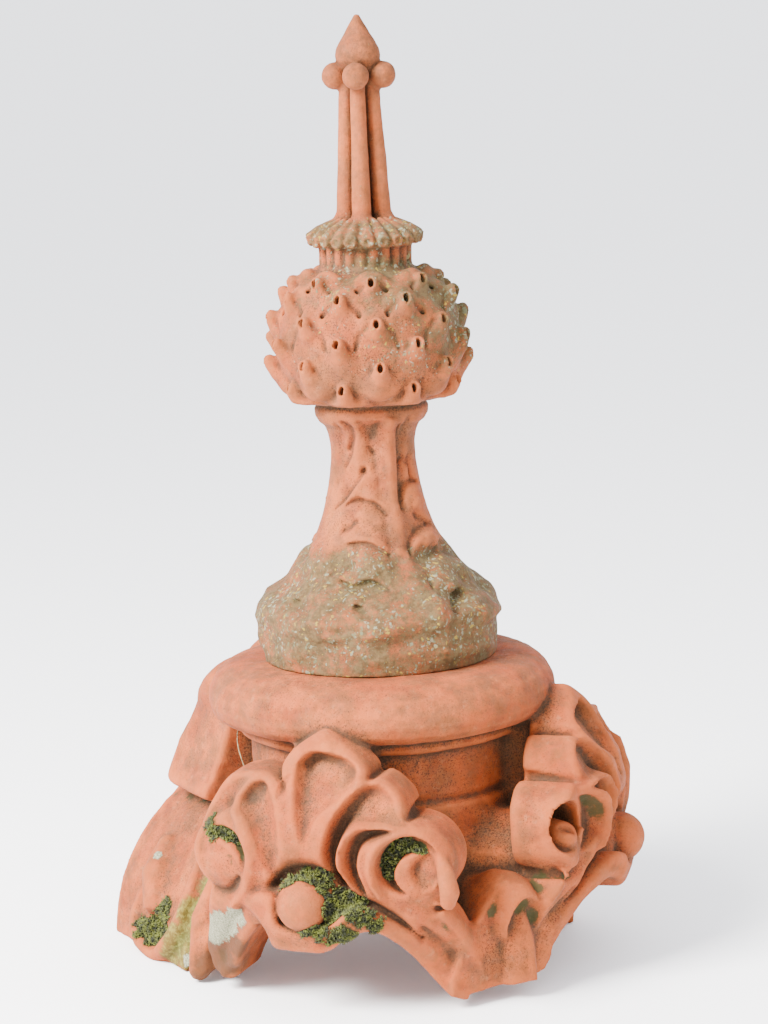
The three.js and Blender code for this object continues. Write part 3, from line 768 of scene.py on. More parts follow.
# The leaf carving of the bell and neck. Each stroke has its places, as azimuth in degrees and height in mm,
# then its width and depth (a ridge if below 0), and where its left side stands out, how far and how wide
NECK_STROKES = [
    # Leaf lobes that overlap: each cut has a raised side
    ([(-40, 480), (-43, 472), (-54, 461), (-66, 450), (-80, 441)], 2.2, 4.5, 3.2, 13),
    ([(-44, 477), (-40, 477), (-37, 475)], 3.6, 5),
    ([(-55, 496), (-61, 488), (-70, 479)], 2.2, 3.5, 2.4, 10),
    ([(-60, 524), (-54, 519), (-53, 509), (-57, 501), (-64, 497)], 4.5, 5, 1.5),
    ([(-40, 524), (-30, 512), (-20, 522)], 8, 4),
    ([(-34, 500), (-28, 496), (-24, 492)], 2.2, 3, 1.5),
    ([(-62, 445), (-48, 451), (-38, 449), (-26, 446), (-14, 435)], 2.2, 4, 3.2, 11),
    ([(-64, 420), (-54, 425), (-46, 431)], 2.2, 3.5, -3, 10),
    ([(-54, 410), (-40, 411), (-30, 409), (-16, 399)], 2.4, 4, 3.4, 12),
    ([(-62, 383), (-52, 388), (-44, 395)], 2.6, 4, -3, 10),
    ([(-52, 379), (-43, 374), (-34, 378), (-20, 370)], 2.6, 4, 3.2, 12),
    ([(-40, 359), (-36, 354), (-31, 349)], 3, 5),
    ([(-84, 358), (-76, 353), (-66, 349)], 5, 5),
    ([(5, 520), (7, 505), (9, 490), (7, 470), (4, 452)], 3, 4, -2.6, 9),
    ([(12, 483), (20, 486), (27, 481), (33, 486), (31, 475), (36, 464)], 3, 4.5, -1.5),
    ([(3, 440), (6, 449), (12, 458), (24, 463), (44, 462)], 3.4, 5.5, -3.6, 12),
    ([(21, 433), (30, 428), (48, 420)], 2.6, 3.5, 1.5),
    ([(3, 398), (7, 410), (20, 418), (42, 421)], 3.2, 5, -4, 13),
    ([(6, 370), (12, 384), (24, 393), (42, 400)], 2.8, 4, -4, 13),
    ([(14, 347), (17, 353), (26, 362)], 5, 8),
    # Valleys beside the broad middle rib, the rib itself and the leaf tips' swellings
    ([(-27, 532), (-27, 505), (-25, 478)], 8, 2.6),
    ([(14, 528), (15, 500), (13, 470), (8, 440)], 7, 2.8),
    ([(-22, 470), (-20, 440), (-16, 410)], 6, 1.6),
    ([(-70, 520), (-76, 490), (-84, 460)], 7, 2),
    ([(-8, 536), (-7, 500), (-6, 460), (-4, 420), (-2, 380), (2, 340)], 9, -4.5),
    ([(4, 366), (4, 340), (5, 314)], 5, -3.5),
    ([(-56, 520), (-46, 490), (-50, 455)], 8, -2),
    ([(-44, 438), (-32, 436), (-22, 430)], 10, -3),
    ([(-44, 396), (-32, 398), (-20, 392)], 11, -4),
    ([(24, 442), (34, 446), (44, 444)], 8, -3),
    ([(24, 406), (34, 410), (46, 408)], 10, -4.5),
    ([(20, 370), (34, 380), (50, 384)], 12, -5.5),
    ([(-68, 368), (-54, 373), (-42, 366)], 12, -5),
    ([(-32, 334), (-16, 345), (-4, 338)], 13, -5),
    ([(-76, 334), (-62, 340), (-50, 332)], 11, -4),
    ([(30, 336), (44, 342), (58, 334)], 12, -4),
]


def neck_relief():
    """Leaf carving of the bell and neck, over azimuth in degrees and height in mm."""
    r = Relief((-180, 290), (180, 545), 0.75)
    for turn in (0, 180, -180):
        for points, *cut in NECK_STROKES:
            r.stroke([(a + turn, z) for a, z in points], *cut)
    # Lumps on the bell that fade up the neck, and where the relief's two ends join
    lumps = noise_grid(r.h.shape + (3,), 30, LUMPS_SEED)[:, :, 1]
    small = noise_grid(r.h.shape + (3,), 13, SMALL_LUMPS_SEED)[:, :, 1]
    join = smooth_step(-180, -165, r.u) * smooth_step(180, 165, r.u)
    fade = 1 - smooth_step(400, 430, r.z)
    r.h += 4.2 * (lumps * join + 0.4 * small * join) * fade * smooth_step(292, 312, r.z)
    r.h *= smooth_step(292, 306, r.z) * (1 - smooth_step(524, 530, r.z))
    return r


def add_scales(clay, random):
    """The ball's hooked scales, each with a slot in its tip and grooves beside it."""
    turn = 360 / SCALES_A_ROW
    for row, (z, core, tip) in enumerate(SCALE_ROWS):
        for i in range(SCALES_A_ROW):
            azimuth = turn * (i - 0.5) + (turn / 2 if row % 2 == 0 else 0) + random.uniform(-2, 2)
            rise = random.uniform(-1.5, 1.5)
            zt = z + rise + 3
            reach = tip + random.uniform(-1.5, 1.5)
            clay.face(azimuth, above(BALL_FOOT, ellipsoid((0, core - 9, z - 8), (20, 12, 22))), soft=6)
            hook = strand([(0, core - 9, z - 14), (0, core, z - 7), (0, reach - 5, zt)], [12, 9.5, 6.4])
            clay.face(azimuth, above(BALL_FOOT, hook), soft=5)
            for side in (1, -1):
                edge = strand([(side * 8, core + 3, z + 1), (side * 17, core + 1.5, z - 9),
                               (side * 20, core, z - 22)], [1.6, 2.4, 1.6])
                clay.face(azimuth, above(BALL_FOOT + 2, edge), how="cut", margin=4)
            slot = strand([(-1.5, reach + 3, zt + 2), (-0.5, reach - 8, zt - 1)], [5.2, 3.8], flat=0.6)
            clay.face(azimuth, slot, soft=1.2, how="cut", margin=4)


def reeded(x, y, z):
    """The neck of upright reeds between the ball and the crown."""
    a = np.arctan2(x + 0 * y, -y + 0 * x)
    body = 38.5 + 5.2 * np.abs(np.cos(REEDS * a)) ** 0.55 + 0 * z
    d = (np.hypot(x, y) - body) * 0.8
    return smooth_max(smooth_max(d, 650 - z, 2), z - 692, 2)


def add_crown(clay, random):
    """A crown of tubes with cupped ends."""
    clay.near(*lathe([(0, 686), (46, 686), (50, 690), (49, 697), (40, 703), (26, 709), (0, 711)]), soft=2)
    turn = 360 / PETALS
    for i in range(PETALS):
        azimuth = turn * (i + 0.5) + random.uniform(-1, 1)
        drop = random.uniform(-0.8, 0.8)
        tube = strand([(0, 50.5, 692.5 + drop), (0, 42, 700), (0, 25, 709.5)], [6.4, 5.4, 3.2])
        clay.face(azimuth, tube, soft=1.2, margin=4)
    for i in range(PETALS):
        azimuth = turn * (i + 0.5)
        clay.face(azimuth, ellipsoid((0, 58, 692), (4.4, 6, 4.4)), soft=1.0, how="cut", margin=4)
        slit = strand([(0, 56, 703), (0, 30, 713)], [2.6, 2.0], flat=0.7)
        clay.face(azimuth + turn / 2, slit, soft=1.0, how="cut", margin=4)


def add_stems(clay):
    """The stems with their balls, and the core and bud inside them."""
    for i in range(STEMS):
        azimuth = STEM_AZIMUTH + 360 / STEMS * i
        clay.face(azimuth, strand([(0, 19, 704), (0, 16.9, 716), (0, 11.8, 838)], [12.5, 9.1, 6.7]), soft=1.5)
        clay.face(azimuth, ellipsoid((0, 22.3, 843.5), (12.4, 12.4, 12.6)), soft=2.5)
    clay.near(*lathe([(0, 706), (7, 706), (6, 838), (12, 848), (20.5, 857), (21.2, 862), (20, 868),
                      (16.5, 875), (12.2, 882), (8.2, 889), (4.8, 895), (2.4, 899), (0, HEIGHT)]), soft=1.5)


def make_spire():
    clay = Clay((-122, -122, BASE_TOP - 4), (122, 122, HEIGHT + 6), SPIRE_STEP)
    relief = neck_relief()
    bell, box = lathe(BELL)

    def carved_bell(x, y, z):
        azimuth = np.degrees(np.arctan2(x + 0 * y, -y + 0 * x))[:, :, 0]
        return bell(x, y, z) - relief.at(azimuth, z)
    clay.near(carved_bell, box, soft=2)
    clay.near(*lathe(BALL), soft=2)
    random = np.random.default_rng(SCALES_SEED)
    add_scales(clay, random)
    clay.near(reeded, ((-46, -46, 648), (46, 46, 694)), soft=1.5)
    add_crown(clay, random)
    add_stems(clay)
    clay.roughen(SPIRE_WAVES)
    below = clay.axes[2] < BASE_TOP + JOINT_GAP
    clay.d[:, :, below] = np.maximum(clay.d[:, :, below], 0.4)
    return clay


def fill_mesh(name, vertices, faces):
    """A mesh object from numpy arrays in mm from the finial's axis."""
    mesh = bpy.data.meshes.new(name)
    moved = (vertices + np.array([AXIS[0], AXIS[1], 0])) * MM
    mesh.vertices.add(len(moved))
    mesh.vertices.foreach_set("co", moved.astype(np.float32).ravel())
    sides = faces.shape[1]
    mesh.loops.add(faces.size)
    mesh.loops.foreach_set("vertex_index", faces.astype(np.int32).ravel())
    mesh.polygons.add(len(faces))
    mesh.polygons.foreach_set("loop_start", np.arange(0, faces.size, sides, dtype=np.int32))
    mesh.update(calc_edges=True)
    mesh.validate()
    piece = bpy.data.objects.new(name, mesh)
    bpy.context.scene.collection.objects.link(piece)
    return piece


def thinned(piece, triangles):
    """The same piece with at most that many triangles."""
    count = sum(len(p.vertices) - 2 for p in piece.data.polygons)
    triangulate = piece.modifiers.new("triangles", "TRIANGULATE")
    if count > triangles:
        decimate = piece.modifiers.new("thin", "DECIMATE")
        decimate.ratio = triangles / count
    graph = bpy.context.evaluated_depsgraph_get()
    mesh = bpy.data.meshes.new_from_object(piece.evaluated_get(graph))
    old = piece.data
    piece.modifiers.clear()
    piece.data = mesh
    bpy.data.meshes.remove(old)
    mesh.polygons.foreach_set("use_smooth", np.ones(len(mesh.polygons), bool))
    return piece


def points_of(piece):
    co = np.zeros(len(piece.data.vertices) * 3, np.float32)
    piece.data.vertices.foreach_get("co", co)
    return co.reshape(-1, 3) / MM - np.array([AXIS[0], AXIS[1], 0])


def attribute(piece, name, values):
    made = piece.data.attributes.new(name, "FLOAT", "POINT")
    made.data.foreach_set("value", np.clip(values, 0, 1).astype(np.float32))


def gradient(clay, points):
    """The direction out of the clay at points."""
    out = np.zeros((len(points), 3))
    for axis in range(3):
        step = np.eye(3)[axis] * clay.step * 0.8
        out[:, axis] = clay.sample(points + step) - clay.sample(points - step)
    return out / np.maximum(np.linalg.norm(out, axis=1, keepdims=True), 1e-6)


def spread(points, spots):
    """How strongly a list of spots (x, y, z, radius) covers points, from 0 to 1."""
    out = np.zeros(len(points))
    for x, y, z, radius in spots:
        d = np.sqrt(((points - (x, y, z)) ** 2).sum(1))
        out = np.maximum(out, np.clip(1.5 - d / radius, 0, 1))
    return out


def one_shell(vertices, quads):
    """The largest connected surface alone, without closed bubbles and loose crumbs."""
    label = np.arange(len(vertices))
    edges = np.concatenate([quads[:, :2], quads[:, 1:3], quads[:, 2:4]])
    while True:
        lowest = np.minimum(label[edges[:, 0]], label[edges[:, 1]])
        merged = label.copy()
        np.minimum.at(merged, edges[:, 0], lowest)
        np.minimum.at(merged, edges[:, 1], lowest)
        merged = merged[merged]
        if np.array_equal(merged, label):
            break
        label = merged
    kept = label == np.bincount(label).argmax()
    number = np.cumsum(kept) - 1
    return vertices[kept], number[quads[kept[quads[:, 0]]]]


def clay_piece(name, clay):
    vertices, quads = one_shell(*clay.mesh())
    piece = thinned(fill_mesh(name, vertices, quads), MAX_TRIANGLES)
    points = points_of(piece)
    # How deep in a hollow each point lies, at two sizes: the clay material darkens crevices and sheltered
    # walls by these, as dirt and painted shade.
    hollow = clay.sample(points, clay.blurred(7))
    attribute(piece, "crevice", (hollow - 0.5) * 2.2 + 0.5)
    attribute(piece, "shelter", (clay.sample(points, clay.blurred(26)) - 0.5) * 1.8 + 0.5)
    return piece, points, hollow


# Where growth and wear sit, in mm from the finial's axis: x, y, z, radius. Moss cushions, thin green dirt,
# yellow lichen, pale crust, broken faces and smears of dull film
MOSS = [
    (-143, -170, 110, 15), (-133, -190, 103, 14), (-119, -201, 92, 13), (-141, -184, 86, 13),
    (-173, -142, 129, 9), (-162, -152, 132, 10), (-151, -161, 128, 12), (-166, -164, 86, 9),
    (-156, -172, 82, 11), (-148, -180, 83, 11), (-129, -172, 108, 12), (-121, -194, 104, 9),
    (-107, -205, 90, 8), (-97, -188, 140, 9), (-94, -190, 153, 10), (-85, -199, 164, 9),
    (-77, -209, 159, 8), (-209, -71, 168, 12), (-204, -83, 163, 11), (-202, 137, 20, 14),
    (-196, 125, 18, 15), (-195, 102, 40, 12), (-193, 98, 53, 8),
]
GREEN = [
    (-130, -193, 88, 13), (-116, -204, 88, 13), (-100, -208, 84, 13), (33, -199, 113, 10),
    (53, -200, 106, 11), (66, -211, 104, 10), (80, -208, 105, 9), (116, -193, 174, 14),
    (125, -190, 163, 12), (-1, -202, 91, 9), (10, -211, 98, 8), (31, -201, 88, 9), (45, -198, 75, 8),
    (-133, 206, 134, 8), (-130, 175, 137, 8), (-127, 145, 140, 8), (-123, 118, 142, 8), (-53, -214, 91, 8),
    (-50, -208, 84, 7), (-94, -218, 57, 12), (-70, -222, 30, 12), (-203, -93, 150, 10),
    (-197, -31, 36, 12), (-198, 48, 22, 18),
]
YELLOW = [(-201, 57, 30, 20), (-198, 48, 20, 20), (-201, 70, 12, 14), (-192, 44, 58, 16), (-178, 38, 84, 13)]
PALE = [
    (-206, -44, 68, 17), (-202, -62, 78, 16), (-200, -82, 88, 12), (-208, -32, 58, 13), (-199, 40, 12, 9),
    (-184, 137, 93, 5),
]
BROKEN = [(-197, -31, 36, 26), (-190, -2, 13, 26), (-195, -63, 54, 16)]
SMEAR = [(-160, 20, 176, 22), (-152, 34, 160, 22), (-170, 0, 192, 24), (-178, -10, 170, 20)]


def moss_piece(clay, points, cover):
    """Moss as thousands of short pointed leaves that stand up from the clay."""
    random = np.random.default_rng(MOSS_SEED)
    rooted = np.repeat(points[cover > 0.35], 5, 0)
    depth = np.repeat(cover[cover > 0.35], 5)
    rooted = rooted + random.uniform(-1.8, 1.8, rooted.shape)
    normal = gradient(clay, rooted)
    rooted = rooted - normal * (clay.sample(rooted) + 0.8)[:, None]
    lean = normal + random.normal(0, 0.45, normal.shape)
    lean /= np.linalg.norm(lean, axis=1, keepdims=True)
    length = (2.2 + 4.6 * depth) * random.uniform(0.6, 1.15, len(depth))
    side = np.cross(lean, random.normal(0, 1, lean.shape))
    side /= np.maximum(np.linalg.norm(side, axis=1, keepdims=True), 1e-6)
    other = np.cross(lean, side)
    width = random.uniform(0.6, 1.15, len(depth))[:, None]
    middle = rooted + lean * (0.5 * length)[:, None]
    ring = [middle + width * (side * math.cos(t) + other * math.sin(t))
            for t in (0, 2 * math.pi / 3, 4 * math.pi / 3)]
    vertices = np.stack([rooted, *ring, rooted + lean * length[:, None]], 1).reshape(-1, 3)
    pattern = np.array([(0, 2, 1), (0, 3, 2), (0, 1, 3), (4, 1, 2), (4, 2, 3), (4, 3, 1)])
    faces = (5 * np.arange(len(rooted))[:, None, None] + pattern[None]).reshape(-1, 3)
    return fill_mesh("moss", vertices, faces)


def tube_piece(name, points, radius, sides=6):
    """A thin round strand as a mesh, closed at both ends."""
    path = spline(points, closed=False, per=4)
    vertices = []
    for i, p in enumerate(path):
        along = path[min(i + 1, len(path) - 1)] - path[max(i - 1, 0)]
        across = np.cross(along, (0.2, 0.4, 1.0))
        across /= np.linalg.norm(across)
        up = np.cross(along, across)
        up /= np.linalg.norm(up)
        for k in range(sides):
            t = 2 * math.pi * k / sides
            vertices.append(p + radius * (across * math.cos(t) + up * math.sin(t)))
    faces = []
    for i in range(len(path) - 1):
        for k in range(sides):
            a, b = i * sides + k, i * sides + (k + 1) % sides
            faces += [(a, b, b + sides), (a, b + sides, a + sides)]
    last = (len(path) - 1) * sides
    for k in range(1, sides - 1):
        faces += [(0, k + 1, k), (last, last + k, last + k + 1)]
    return fill_mesh(name, np.array(vertices), np.array(faces))


def weathered_base():
    """The base with its growth and wear, and its moss as a second mesh."""
    clay = make_base()
    piece, points, hollow = clay_piece("carved_base", clay)
    x, y, z = points.T
    patchy = 0.22 * np.sin(x * 0.31) * np.sin(y * 0.27 + z * 0.33)
    sunk = smooth_step(0.44, 0.56, hollow)
    moss_cover = np.clip(spread(points, MOSS) * (0.55 + 0.8 * sunk) + patchy - 0.06, 0, 1)
    attribute(piece, "moss", moss_cover)
    attribute(piece, "green", spread(points, GREEN) * (0.25 + 1.1 * sunk))
    attribute(piece, "lichen", 0.8 * spread(points, SMEAR))
    for name, spots in (("yellow", YELLOW), ("pale", PALE), ("broken", BROKEN)):
        attribute(piece, name, spread(points, spots))
    return piece, moss_piece(clay, points, moss_cover)


def weathered_spire():
    """The spire, with lichen and film on bell, ball and crown, thickest on the camera's right, away from the
    key light, where the darker film and green film are partly painted shade.
    """
    piece, points, _ = clay_piece("carved_spire", make_spire())
    x, y, height = points.T
    # How far each point faces the camera's right, away from the key light; the film and green film that grow
    # with it there are partly painted shade.
    away_from_key = x * math.cos(VIEW_TURN) + y * math.sin(VIEW_TURN)
    away_from_key /= np.maximum(np.hypot(x, y), 1)

    def rise(low, high):
        return smooth_step(low, high, height)
    bell = 1 - rise(392, 428)
    ball = rise(548, 580) * (0.62 + 0.3 * away_from_key) + 0.35 * rise(620, 660) * (1 - rise(668, 712))
    ball = np.clip(ball, 0, 1) * (1 - rise(668, 700))
    crown = rise(668, 690) * (1 - rise(706, 720)) + 0.24 * rise(706, 730)
    attribute(piece, "lichen", np.maximum.reduce([bell, ball, crown]))
    attribute(piece, "broken", 0.42 * rise(700, 730) + 0.16 * rise(826, 850))
    attribute(piece, "green", 0.6 * bell * (0.6 + 0.4 * away_from_key)
              + 0.75 * np.clip(away_from_key, 0, 1) * rise(560, 590) * (1 - rise(650, 675)))
    return piece


class Nodes:
    """One material and short ways to add its nodes."""

    def __init__(self, name):
        self.material = bpy.data.materials.new(name)
        self.material.use_nodes = True
        self.tree = self.material.node_tree
        self.tree.nodes.clear()
        self.shader = self.node("ShaderNodeBsdfPrincipled")
        self.link(self.shader.outputs[0], self.node("ShaderNodeOutputMaterial").inputs[0])
        self.place = self.node("ShaderNodeTexCoord").outputs["Object"]

    def node(self, kind, **settings):
        made = self.tree.nodes.new(kind)
        for key, value in settings.items():
            setattr(made, key, value)
        return made

    def link(self, a, b):
        self.tree.links.new(a, b)

    def feed(self, made, **values):
        """Links each named input to a socket, or sets it to a number. Gives the node back."""
        for key, value in values.items():
            socket = made.inputs[key.replace("_", " ")]
            if isinstance(value, (int, float)):
                socket.default_value = value
            else:
                self.link(value, socket)
        return made

    def noise(self, scale, detail=4.0, rough=0.6, out="Fac"):
        made = self.node("ShaderNodeTexNoise")
        return self.feed(made, Vector=self.place, Scale=scale, Detail=detail, Roughness=rough).outputs[out]

    def ramp(self, value, low, high, to_low=0.0, to_high=1.0, how="SMOOTHSTEP"):
        made = self.node("ShaderNodeMapRange", interpolation_type=how)
        self.feed(made, Value=value, From_Min=low, From_Max=high, To_Min=to_low, To_Max=to_high)
        return made.outputs["Result"]

    def math(self, how, a, b):
        made = self.node("ShaderNodeMath", operation=how)
        for socket, value in zip(made.inputs, (a, b)):
            if isinstance(value, (int, float)):
                socket.default_value = value
            else:
                self.link(value, socket)
        return made.outputs[0]

    def plus(self, a, b):
        return self.math("ADD", a, b)

    def times(self, a, b):
        return self.math("MULTIPLY", a, b)

    def mix(self, share, a, b):
        """Two colours, or sockets that carry one, mixed by a share."""
        made = self.feed(self.node("ShaderNodeMix", data_type="RGBA"), Factor=share)
        for socket, value in zip(made.inputs[6:8], (a, b)):
            if isinstance(value, tuple):
                socket.default_value = (*value, 1)
            else:
                self.link(value, socket)
        return made.outputs[2]

    def attribute(self, name):
        return self.node("ShaderNodeAttribute", attribute_name=name).outputs["Fac"]

    def finish(self, colour, roughness, height, strength, distance):
        """Joins the colour, roughness and bump to the shader."""
        bump = self.feed(self.node("ShaderNodeBump"), Height=height, Strength=strength, Distance=distance)
        self.link(colour, self.shader.inputs["Base Color"])
        self.link(roughness, self.shader.inputs["Roughness"])
        self.link(bump.outputs[0], self.shader.inputs["Normal"])
        return self.material


# Colours, as linear red, green and blue
PALE_SALT = (0.27, 0.1, 0.042)
PATINA = (0.105, 0.037, 0.011)
# This colour darkens sheltered walls: grime, and painted shade.
GRIME_AND_SHADE = (0.09, 0.044, 0.018)
# This colour makes soot specks, and also paints shade in creases.
SOOT_AND_SHADE = (0.024, 0.012, 0.005)
FILM = (0.085, 0.058, 0.021)
FILM_DARK = (0.042, 0.029, 0.009)
GREEN_FILM = (0.026, 0.024, 0.005)
LICHEN_GREY = (0.09, 0.094, 0.048)
LICHEN_PALE = (0.165, 0.165, 0.105)
LICHEN_YELLOW = (0.24, 0.16, 0.02)
LICHEN_OLIVE = (0.065, 0.058, 0.006)
LICHEN_BRIGHT = (0.15, 0.14, 0.026)
LICHEN_WHITE = (0.25, 0.235, 0.16)
BROKEN_FACE = (0.055, 0.021, 0.006)
MOSS_DARK = (0.013, 0.016, 0.002)
# The base's clay and the spire's, which is duller: warm, pale and deep
BASE_CLAY = ((0.235, 0.040, 0.006), (0.31, 0.068, 0.014), (0.155, 0.027, 0.005))
SPIRE_CLAY = ((0.215, 0.040, 0.0075), (0.28, 0.068, 0.016), (0.145, 0.028, 0.006))


def soiled_and_shaded(n, colour, pale, crease_soot_and_shade, fine, speckle):
    """Soot and earth, and painted shade: specks all over, and a darkening thicker in hollows and on sheltered
    walls, which is painted shade as well as dirt.
    """
    crevice, shelter = n.attribute("crevice"), n.attribute("shelter")
    sheltered = n.plus(n.times(shelter, 0.9), n.times(speckle, 0.5))
    # Painted shade and grime: sheltered walls darken, mottled by the speckle noise.
    colour = n.mix(n.ramp(sheltered, 0.74, 0.98, 0, 0.62), colour, GRIME_AND_SHADE)
    # Soot specks all over, thicker on sheltered walls as painted shade.
    specks = n.plus(n.plus(fine, n.times(shelter, 0.14)), n.times(n.noise(9, 3), 0.16))
    colour = n.mix(n.ramp(specks, 0.68, 0.76, 0, 0.85), colour, SOOT_AND_SHADE)
    # Soot and painted shade in creases, as strong as the crease strength given.
    colour = n.mix(n.ramp(n.plus(crevice, n.times(speckle, 0.3)), 0.68, 0.98, 0, crease_soot_and_shade), colour, SOOT_AND_SHADE)
    return n.mix(n.ramp(crevice, 0.46, 0.3, 0, 0.45), colour, pale)


def lichened(n, colour, fine, speckle):
    """A dull film and round, rough-edged spots of lichen. Also gives how much a spot stands out."""
    lichen = n.attribute("lichen")
    push = n.node("ShaderNodeVectorMath", operation="SCALE")
    n.feed(push, Scale=0.009)
    n.link(n.noise(160, 2.0, 0.5, out="Color"), push.inputs[0])
    wobbly = n.node("ShaderNodeVectorMath", operation="ADD")
    n.link(n.place, wobbly.inputs[0])
    n.link(push.outputs[0], wobbly.inputs[1])
    spots = n.feed(n.node("ShaderNodeTexVoronoi"), Scale=300, Randomness=1.0, Vector=wobbly.outputs[0])
    chance = n.node("ShaderNodeSeparateColor")
    n.link(spots.outputs["Color"], chance.inputs[0])
    grown = n.times(lichen, n.plus(n.math("POWER", chance.outputs[0], 1.7), 0.15))
    size = n.times(n.times(grown, n.ramp(n.noise(26, 5, 0.65), 0.36, 0.6, 0.15, 1.0)), 0.62)
    away = n.plus(spots.outputs["Distance"], n.times(n.math("SUBTRACT", fine, 0.5), 0.9))
    body = n.ramp(n.math("SUBTRACT", size, away), -0.1, 0.1, 0, 0.85)
    # A dull film that follows the lichen attribute; on the spire it thickens away from the key light as
    # painted shade.
    film = n.ramp(n.plus(n.times(lichen, 0.42), n.noise(34, 8, 0.85)), 0.76, 0.98, 0, 0.9)
    colour = n.mix(film, colour, n.mix(n.ramp(speckle, 0.42, 0.6), FILM_DARK, FILM))
    crust = n.mix(n.ramp(chance.outputs[1], 0.45, 0.6), LICHEN_GREY, LICHEN_PALE)
    crust = n.mix(n.ramp(chance.outputs[2], 0.78, 0.82), crust, LICHEN_YELLOW)
    return n.mix(n.times(body, n.ramp(fine, 0.3, 0.55, 0.35, 1.0)), colour, crust), body


def clay_material(name, clays, crease_soot_and_shade):
    """Fired clay, and over it what the piece's attributes lead: dirt and painted shade in hollows, lichen,
    wear and moss.
    """
    warm, pale, deep = clays
    n = Nodes(name)
    n.shader.inputs["Specular IOR Level"].default_value = 0.25
    fine, speckle = n.noise(640, 5, 0.75), n.noise(170, 6, 0.75)
    colour = n.mix(n.ramp(n.noise(14, 3), 0.35, 0.68), warm, pale)
    colour = n.mix(n.ramp(n.noise(38, 6, 0.65), 0.44, 0.66, 0, 0.85), colour, deep)
    colour = n.mix(n.ramp(n.noise(24, 8, 0.75), 0.42, 0.62, 0, 0.72), colour, PATINA)
    colour = n.mix(n.ramp(n.noise(110, 5, 0.7), 0.55, 0.75, 0, 0.55), colour, PALE_SALT)
    colour = soiled_and_shaded(n, colour, pale, crease_soot_and_shade, fine, speckle)
    green = n.ramp(n.plus(n.times(n.attribute("green"), 0.6), speckle), 0.74, 1.05, 0, 0.92)
    colour, body = lichened(n, n.mix(green, colour, GREEN_FILM), fine, speckle)

    def covered(attribute_name, share):
        return n.plus(n.attribute(attribute_name), n.times(speckle, share))
    yellow = n.ramp(covered("yellow", 0.9), 0.7, 1.2, 0, 0.85)
    colour = n.mix(yellow, colour, n.mix(n.ramp(speckle, 0.45, 0.6), LICHEN_OLIVE, LICHEN_BRIGHT))
    colour = n.mix(n.ramp(covered("broken", 0.8), 0.7, 1.2, 0, 0.85), colour, BROKEN_FACE)
    crusty = n.ramp(covered("pale", 1.3), 1.05, 1.3)
    colour = n.mix(crusty, colour, n.mix(n.ramp(fine, 0.4, 0.62), LICHEN_WHITE, LICHEN_GREY))
    colour = n.mix(n.ramp(covered("moss", 0.5), 0.42, 0.7), colour, MOSS_DARK)
    grain = n.plus(n.noise(330, 5, 0.75), n.times(n.noise(75, 3), 1.4))
    grain = n.plus(n.plus(grain, n.times(body, 0.5)), n.times(crusty, 1.2))
    return n.finish(colour, n.ramp(n.noise(90), 0.3, 0.7, 0.78, 0.97), grain, 0.6, 0.0013)


def plain_material(name, dark, bright, scale):
    """Two colours mixed by fine noise, with a fine bump."""
    n = Nodes(name)
    grain = n.noise(scale, 2.0, 0.5)
    colour = n.mix(n.ramp(grain, 0.38, 0.62, how="LINEAR"), dark, bright)
    return n.finish(colour, n.ramp(grain, 0, 1, 0.75, 0.9, how="LINEAR"), grain, 0.4, 0.0006)


base, moss = weathered_base()
straw = tube_piece("straw", STRAW, 0.7)
spire = weathered_spire()
base.data.materials.append(clay_material("terracotta", BASE_CLAY, 0.65))
spire.data.materials.append(clay_material("weathered_terracotta", SPIRE_CLAY, 0.5))
moss.data.materials.append(plain_material("moss", (0.009, 0.012, 0.001), (0.075, 0.085, 0.004), 190))
straw.data.materials.append(plain_material("straw", (0.09, 0.055, 0.02), (0.25, 0.17, 0.08), 300))

for piece, node_name, slot_name in ((base, "ridge_base", "base_clay"), (spire, "finial_spire", "spire_clay")):
    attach(piece, "root")
    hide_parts(node_name)
for piece in (moss, straw):
    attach(piece, "root")

# Stage, light and camera, in metres except the camera's distance and height in mm
FLOOR_HALF = 150.0
CAMERA_DISTANCE = 3095
CAMERA_HEIGHT = 946
CAMERA_PITCH = math.radians(9.45)
CAMERA_ROLL = math.radians(-2.2)
CAMERA_YAW = math.radians(0.15)
LENS = 116.0
LIGHTS_AIM = (0, 0, 0.4)


def stage_floor():
    """A pale floor that runs out past the camera's view."""
    mesh = bpy.data.meshes.new("floor")
    corners = [(x * FLOOR_HALF, y * FLOOR_HALF, 0) for x, y in ((-1, -1), (1, -1), (1, 1), (-1, 1))]
    mesh.from_pydata(corners, [], [(0, 1, 2, 3)])
    floor = bpy.data.objects.new("floor", mesh)
    bpy.context.scene.collection.objects.link(floor)
    material = bpy.data.materials.new("pale_cloth")
    material.use_nodes = True
    shader = material.node_tree.nodes["Principled BSDF"]
    shader.inputs["Base Color"].default_value = (0.9, 0.895, 0.9, 1)
    shader.inputs["Roughness"].default_value = 0.95
    mesh.materials.append(material)


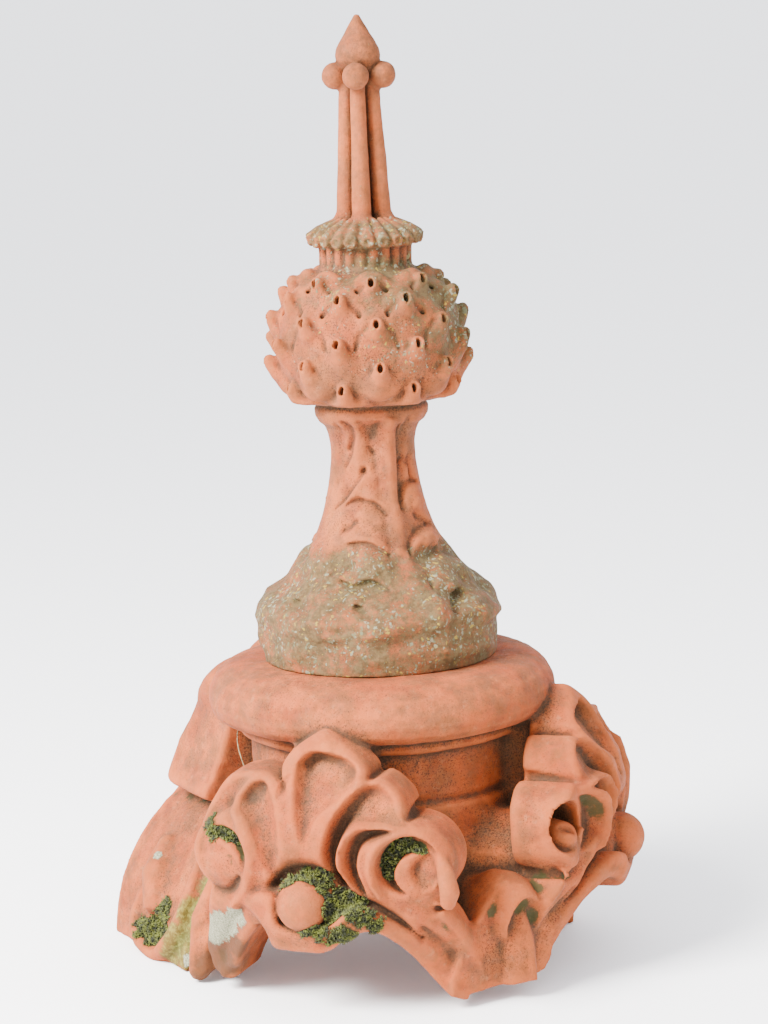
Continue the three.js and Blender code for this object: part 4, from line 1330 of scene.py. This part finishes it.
def camera_frame():
    """The camera's place and direction, fitted to the finial's turned mouldings in the photo."""
    flat = math.cos(CAMERA_PITCH)
    forward = Vector((math.sin(CAMERA_YAW) * flat, math.cos(CAMERA_YAW) * flat, -math.sin(CAMERA_PITCH)))
    right = Vector((math.cos(CAMERA_YAW), -math.sin(CAMERA_YAW), 0))
    up = right.cross(forward)
    turned_right = math.cos(CAMERA_ROLL) * right + math.sin(CAMERA_ROLL) * up
    turned_up = -math.sin(CAMERA_ROLL) * right + math.cos(CAMERA_ROLL) * up
    matrix = Matrix((turned_right, turned_up, -forward)).transposed().to_4x4()
    matrix.translation = Vector((0, -CAMERA_DISTANCE, CAMERA_HEIGHT)) * MM
    shift = Matrix.Translation((AXIS[0] * MM, AXIS[1] * MM, 0))
    return shift @ Matrix.Rotation(VIEW_TURN, 4, "Z") @ matrix


def softbox(name, place, size, power, colour):
    """A square area light at a place given in the camera's own frame, aimed at the finial."""
    light = bpy.data.lights.new(name, "AREA")
    light.shape = "RECTANGLE"
    light.size = light.size_y = size
    light.energy = power
    light.color = colour
    lamp = bpy.data.objects.new(name, light)
    bpy.context.scene.collection.objects.link(lamp)
    lamp.location = Matrix.Rotation(VIEW_TURN, 3, "Z") @ Vector(place)
    lamp.rotation_mode = "QUATERNION"
    lamp.rotation_quaternion = (Vector(LIGHTS_AIM) - lamp.location).to_track_quat("-Z", "Y")


stage_floor()
world = bpy.data.worlds.new("studio")
bpy.context.scene.world = world
world.use_nodes = True
world.node_tree.nodes["Background"].inputs["Color"].default_value = (0.93, 0.95, 1.0, 1)
world.node_tree.nodes["Background"].inputs["Strength"].default_value = 3.0

camera = bpy.data.objects.new("camera", bpy.data.cameras.new("camera"))
bpy.context.scene.collection.objects.link(camera)
camera.data.lens = LENS
camera.data.sensor_width = 36
camera.data.clip_end = 400
camera.matrix_world = camera_frame()
bpy.context.scene.camera = camera
softbox("key", (-1.9, -1.5, 2.2), 1.3, 640, (1.0, 0.98, 0.95))
softbox("fill", (2.2, -1.8, 1.3), 2.0, 20, (0.95, 0.97, 1.0))
